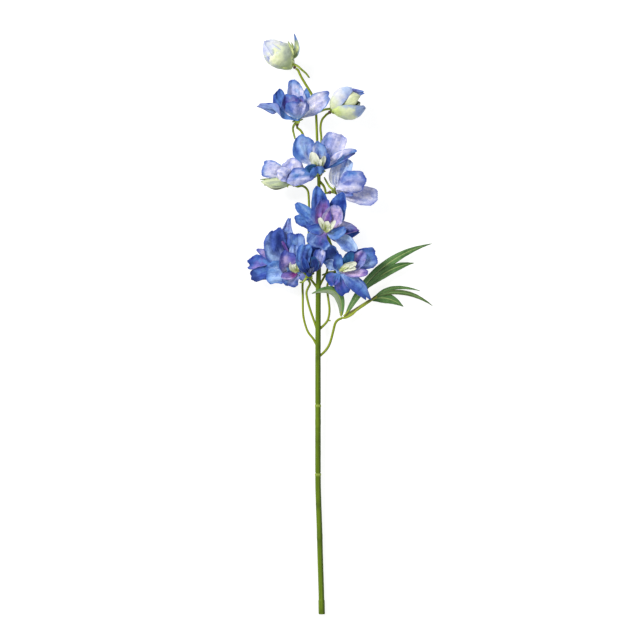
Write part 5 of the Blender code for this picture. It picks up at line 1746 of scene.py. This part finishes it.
class DELPHINIUM_OT_stage(bpy.types.Operator):
    """Lay the pale floor, hang the soft lights and set the camera over the spike"""

    bl_idname = "delphinium.stage"
    bl_label = "Floor, Lights and Camera"

    def execute(self, context):
        self.floor(context.scene)
        self.lights(context.scene)
        self.camera(context.scene)
        context.scene.view_settings.view_transform = "Standard"
        return {"FINISHED"}

    def floor(self, scene):
        """Wide sheet of white paper."""
        mesh = bpy.data.meshes.new("floor")
        half = scene.delphinium_sizes.floor / 2
        corners = [(-half, -half, 0), (half, -half, 0), (half, half, 0), (-half, half, 0)]
        mesh.from_pydata(corners, [], [(0, 1, 2, 3)])
        paper = Finish("white_paper", Specular_IOR_Level=0.0, Roughness=PAPER_ROUGHNESS,
                       Emission_Strength=PAPER_GLOW_STRENGTH)
        tone = paper.noise(paper.place(), 3, 2)
        white = paper.mix(tone, *[(shade,) * 3 for shade in PAPER_SHADES])
        glow = paper.mix(tone, *[(shade,) * 3 for shade in PAPER_GLOWS])
        paper.connect(Base_Color=white, Emission_Color=glow)
        mesh.materials.append(paper.material)
        ground = bpy.data.objects.new("floor", mesh)
        scene.collection.objects.link(ground)

    def lights(self, scene):
        """Two soft lamps and a white sky."""
        for name, place, size, power, colour in STUDIO_LAMPS:
            lamp = bpy.data.lights.new(name, "AREA")
            lamp.shape = "DISK"
            lamp.size = size
            lamp.energy = power
            lamp.color = colour
            light = bpy.data.objects.new(name, lamp)
            light.location = place
            light.rotation_mode = "QUATERNION"
            towards = Vector(np.subtract(LAMP_AIM, place))
            light.rotation_quaternion = towards.to_track_quat("-Z", "Y")
            scene.collection.objects.link(light)
        world = bpy.data.worlds.new("studio")
        world.use_nodes = True
        sky = world.node_tree.nodes["Background"]
        sky.inputs["Color"].default_value = (1.0, 1.0, 1.0, 1.0)
        sky.inputs["Strength"].default_value = SKY_STRENGTH
        scene.world = world

    def camera(self, scene):
        """Camera that looks straight down on the spike."""
        camera = bpy.data.cameras.new("camera")
        distance = CAMERA_HEIGHT - VIEW_PLANE
        camera.lens = camera.sensor_width * distance / scene.delphinium_sizes.view_width
        camera.clip_start = 0.1
        camera.clip_end = 40.0
        eye = bpy.data.objects.new("camera", camera)
        eye.location = (*VIEW_CENTRE, CAMERA_HEIGHT)
        scene.collection.objects.link(eye)
        scene.camera = eye


class DELPHINIUM_PT_maker(bpy.types.Panel):
    """Lists the pieces of the spike in the order in which they are made"""

    bl_idname = "DELPHINIUM_PT_maker"
    bl_label = "Delphinium Spike"
    bl_space_type = "VIEW_3D"
    bl_region_type = "UI"
    bl_category = "Delphinium"

    def draw(self, context):
        for operator in MAKERS:
            self.layout.operator(operator.bl_idname)
        for group in ("sizes", "dyes", "colours"):
            settings = getattr(context.scene, "delphinium_" + group)
            for name in settings.__annotations__:
                self.layout.prop(settings, name)


GROUPS = {"delphinium_sizes": DelphiniumSizes, "delphinium_dyes": DelphiniumDyes,
          "delphinium_colours": DelphiniumColours}
MAKERS = (DELPHINIUM_OT_stage, DELPHINIUM_OT_stem, DELPHINIUM_OT_leaves, DELPHINIUM_OT_petals,
          DELPHINIUM_OT_calyxes, DELPHINIUM_OT_bees)


def register():
    """Registers the classes and the scene's settings."""
    for group in GROUPS.values():
        bpy.utils.register_class(group)
    for maker in MAKERS:
        bpy.utils.register_class(maker)
    bpy.utils.register_class(DELPHINIUM_PT_maker)
    for name, group in GROUPS.items():
        setattr(bpy.types.Scene, name, bpy.props.PointerProperty(type=group))


def unregister():
    """Takes the settings and the classes away again."""
    for name in GROUPS:
        delattr(bpy.types.Scene, name)
    bpy.utils.unregister_class(DELPHINIUM_PT_maker)
    for maker in reversed(MAKERS):
        bpy.utils.unregister_class(maker)
    for group in reversed(GROUPS.values()):
        bpy.utils.unregister_class(group)


def main():
    """Makes the whole spike."""
    register()
    bpy.ops.delphinium.stage()
    bpy.ops.delphinium.stem()
    bpy.ops.delphinium.leaves()
    bpy.ops.delphinium.petals()
    bpy.ops.delphinium.calyxes()
    bpy.ops.delphinium.bees()
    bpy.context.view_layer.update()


if __name__ == "__main__":
    main()
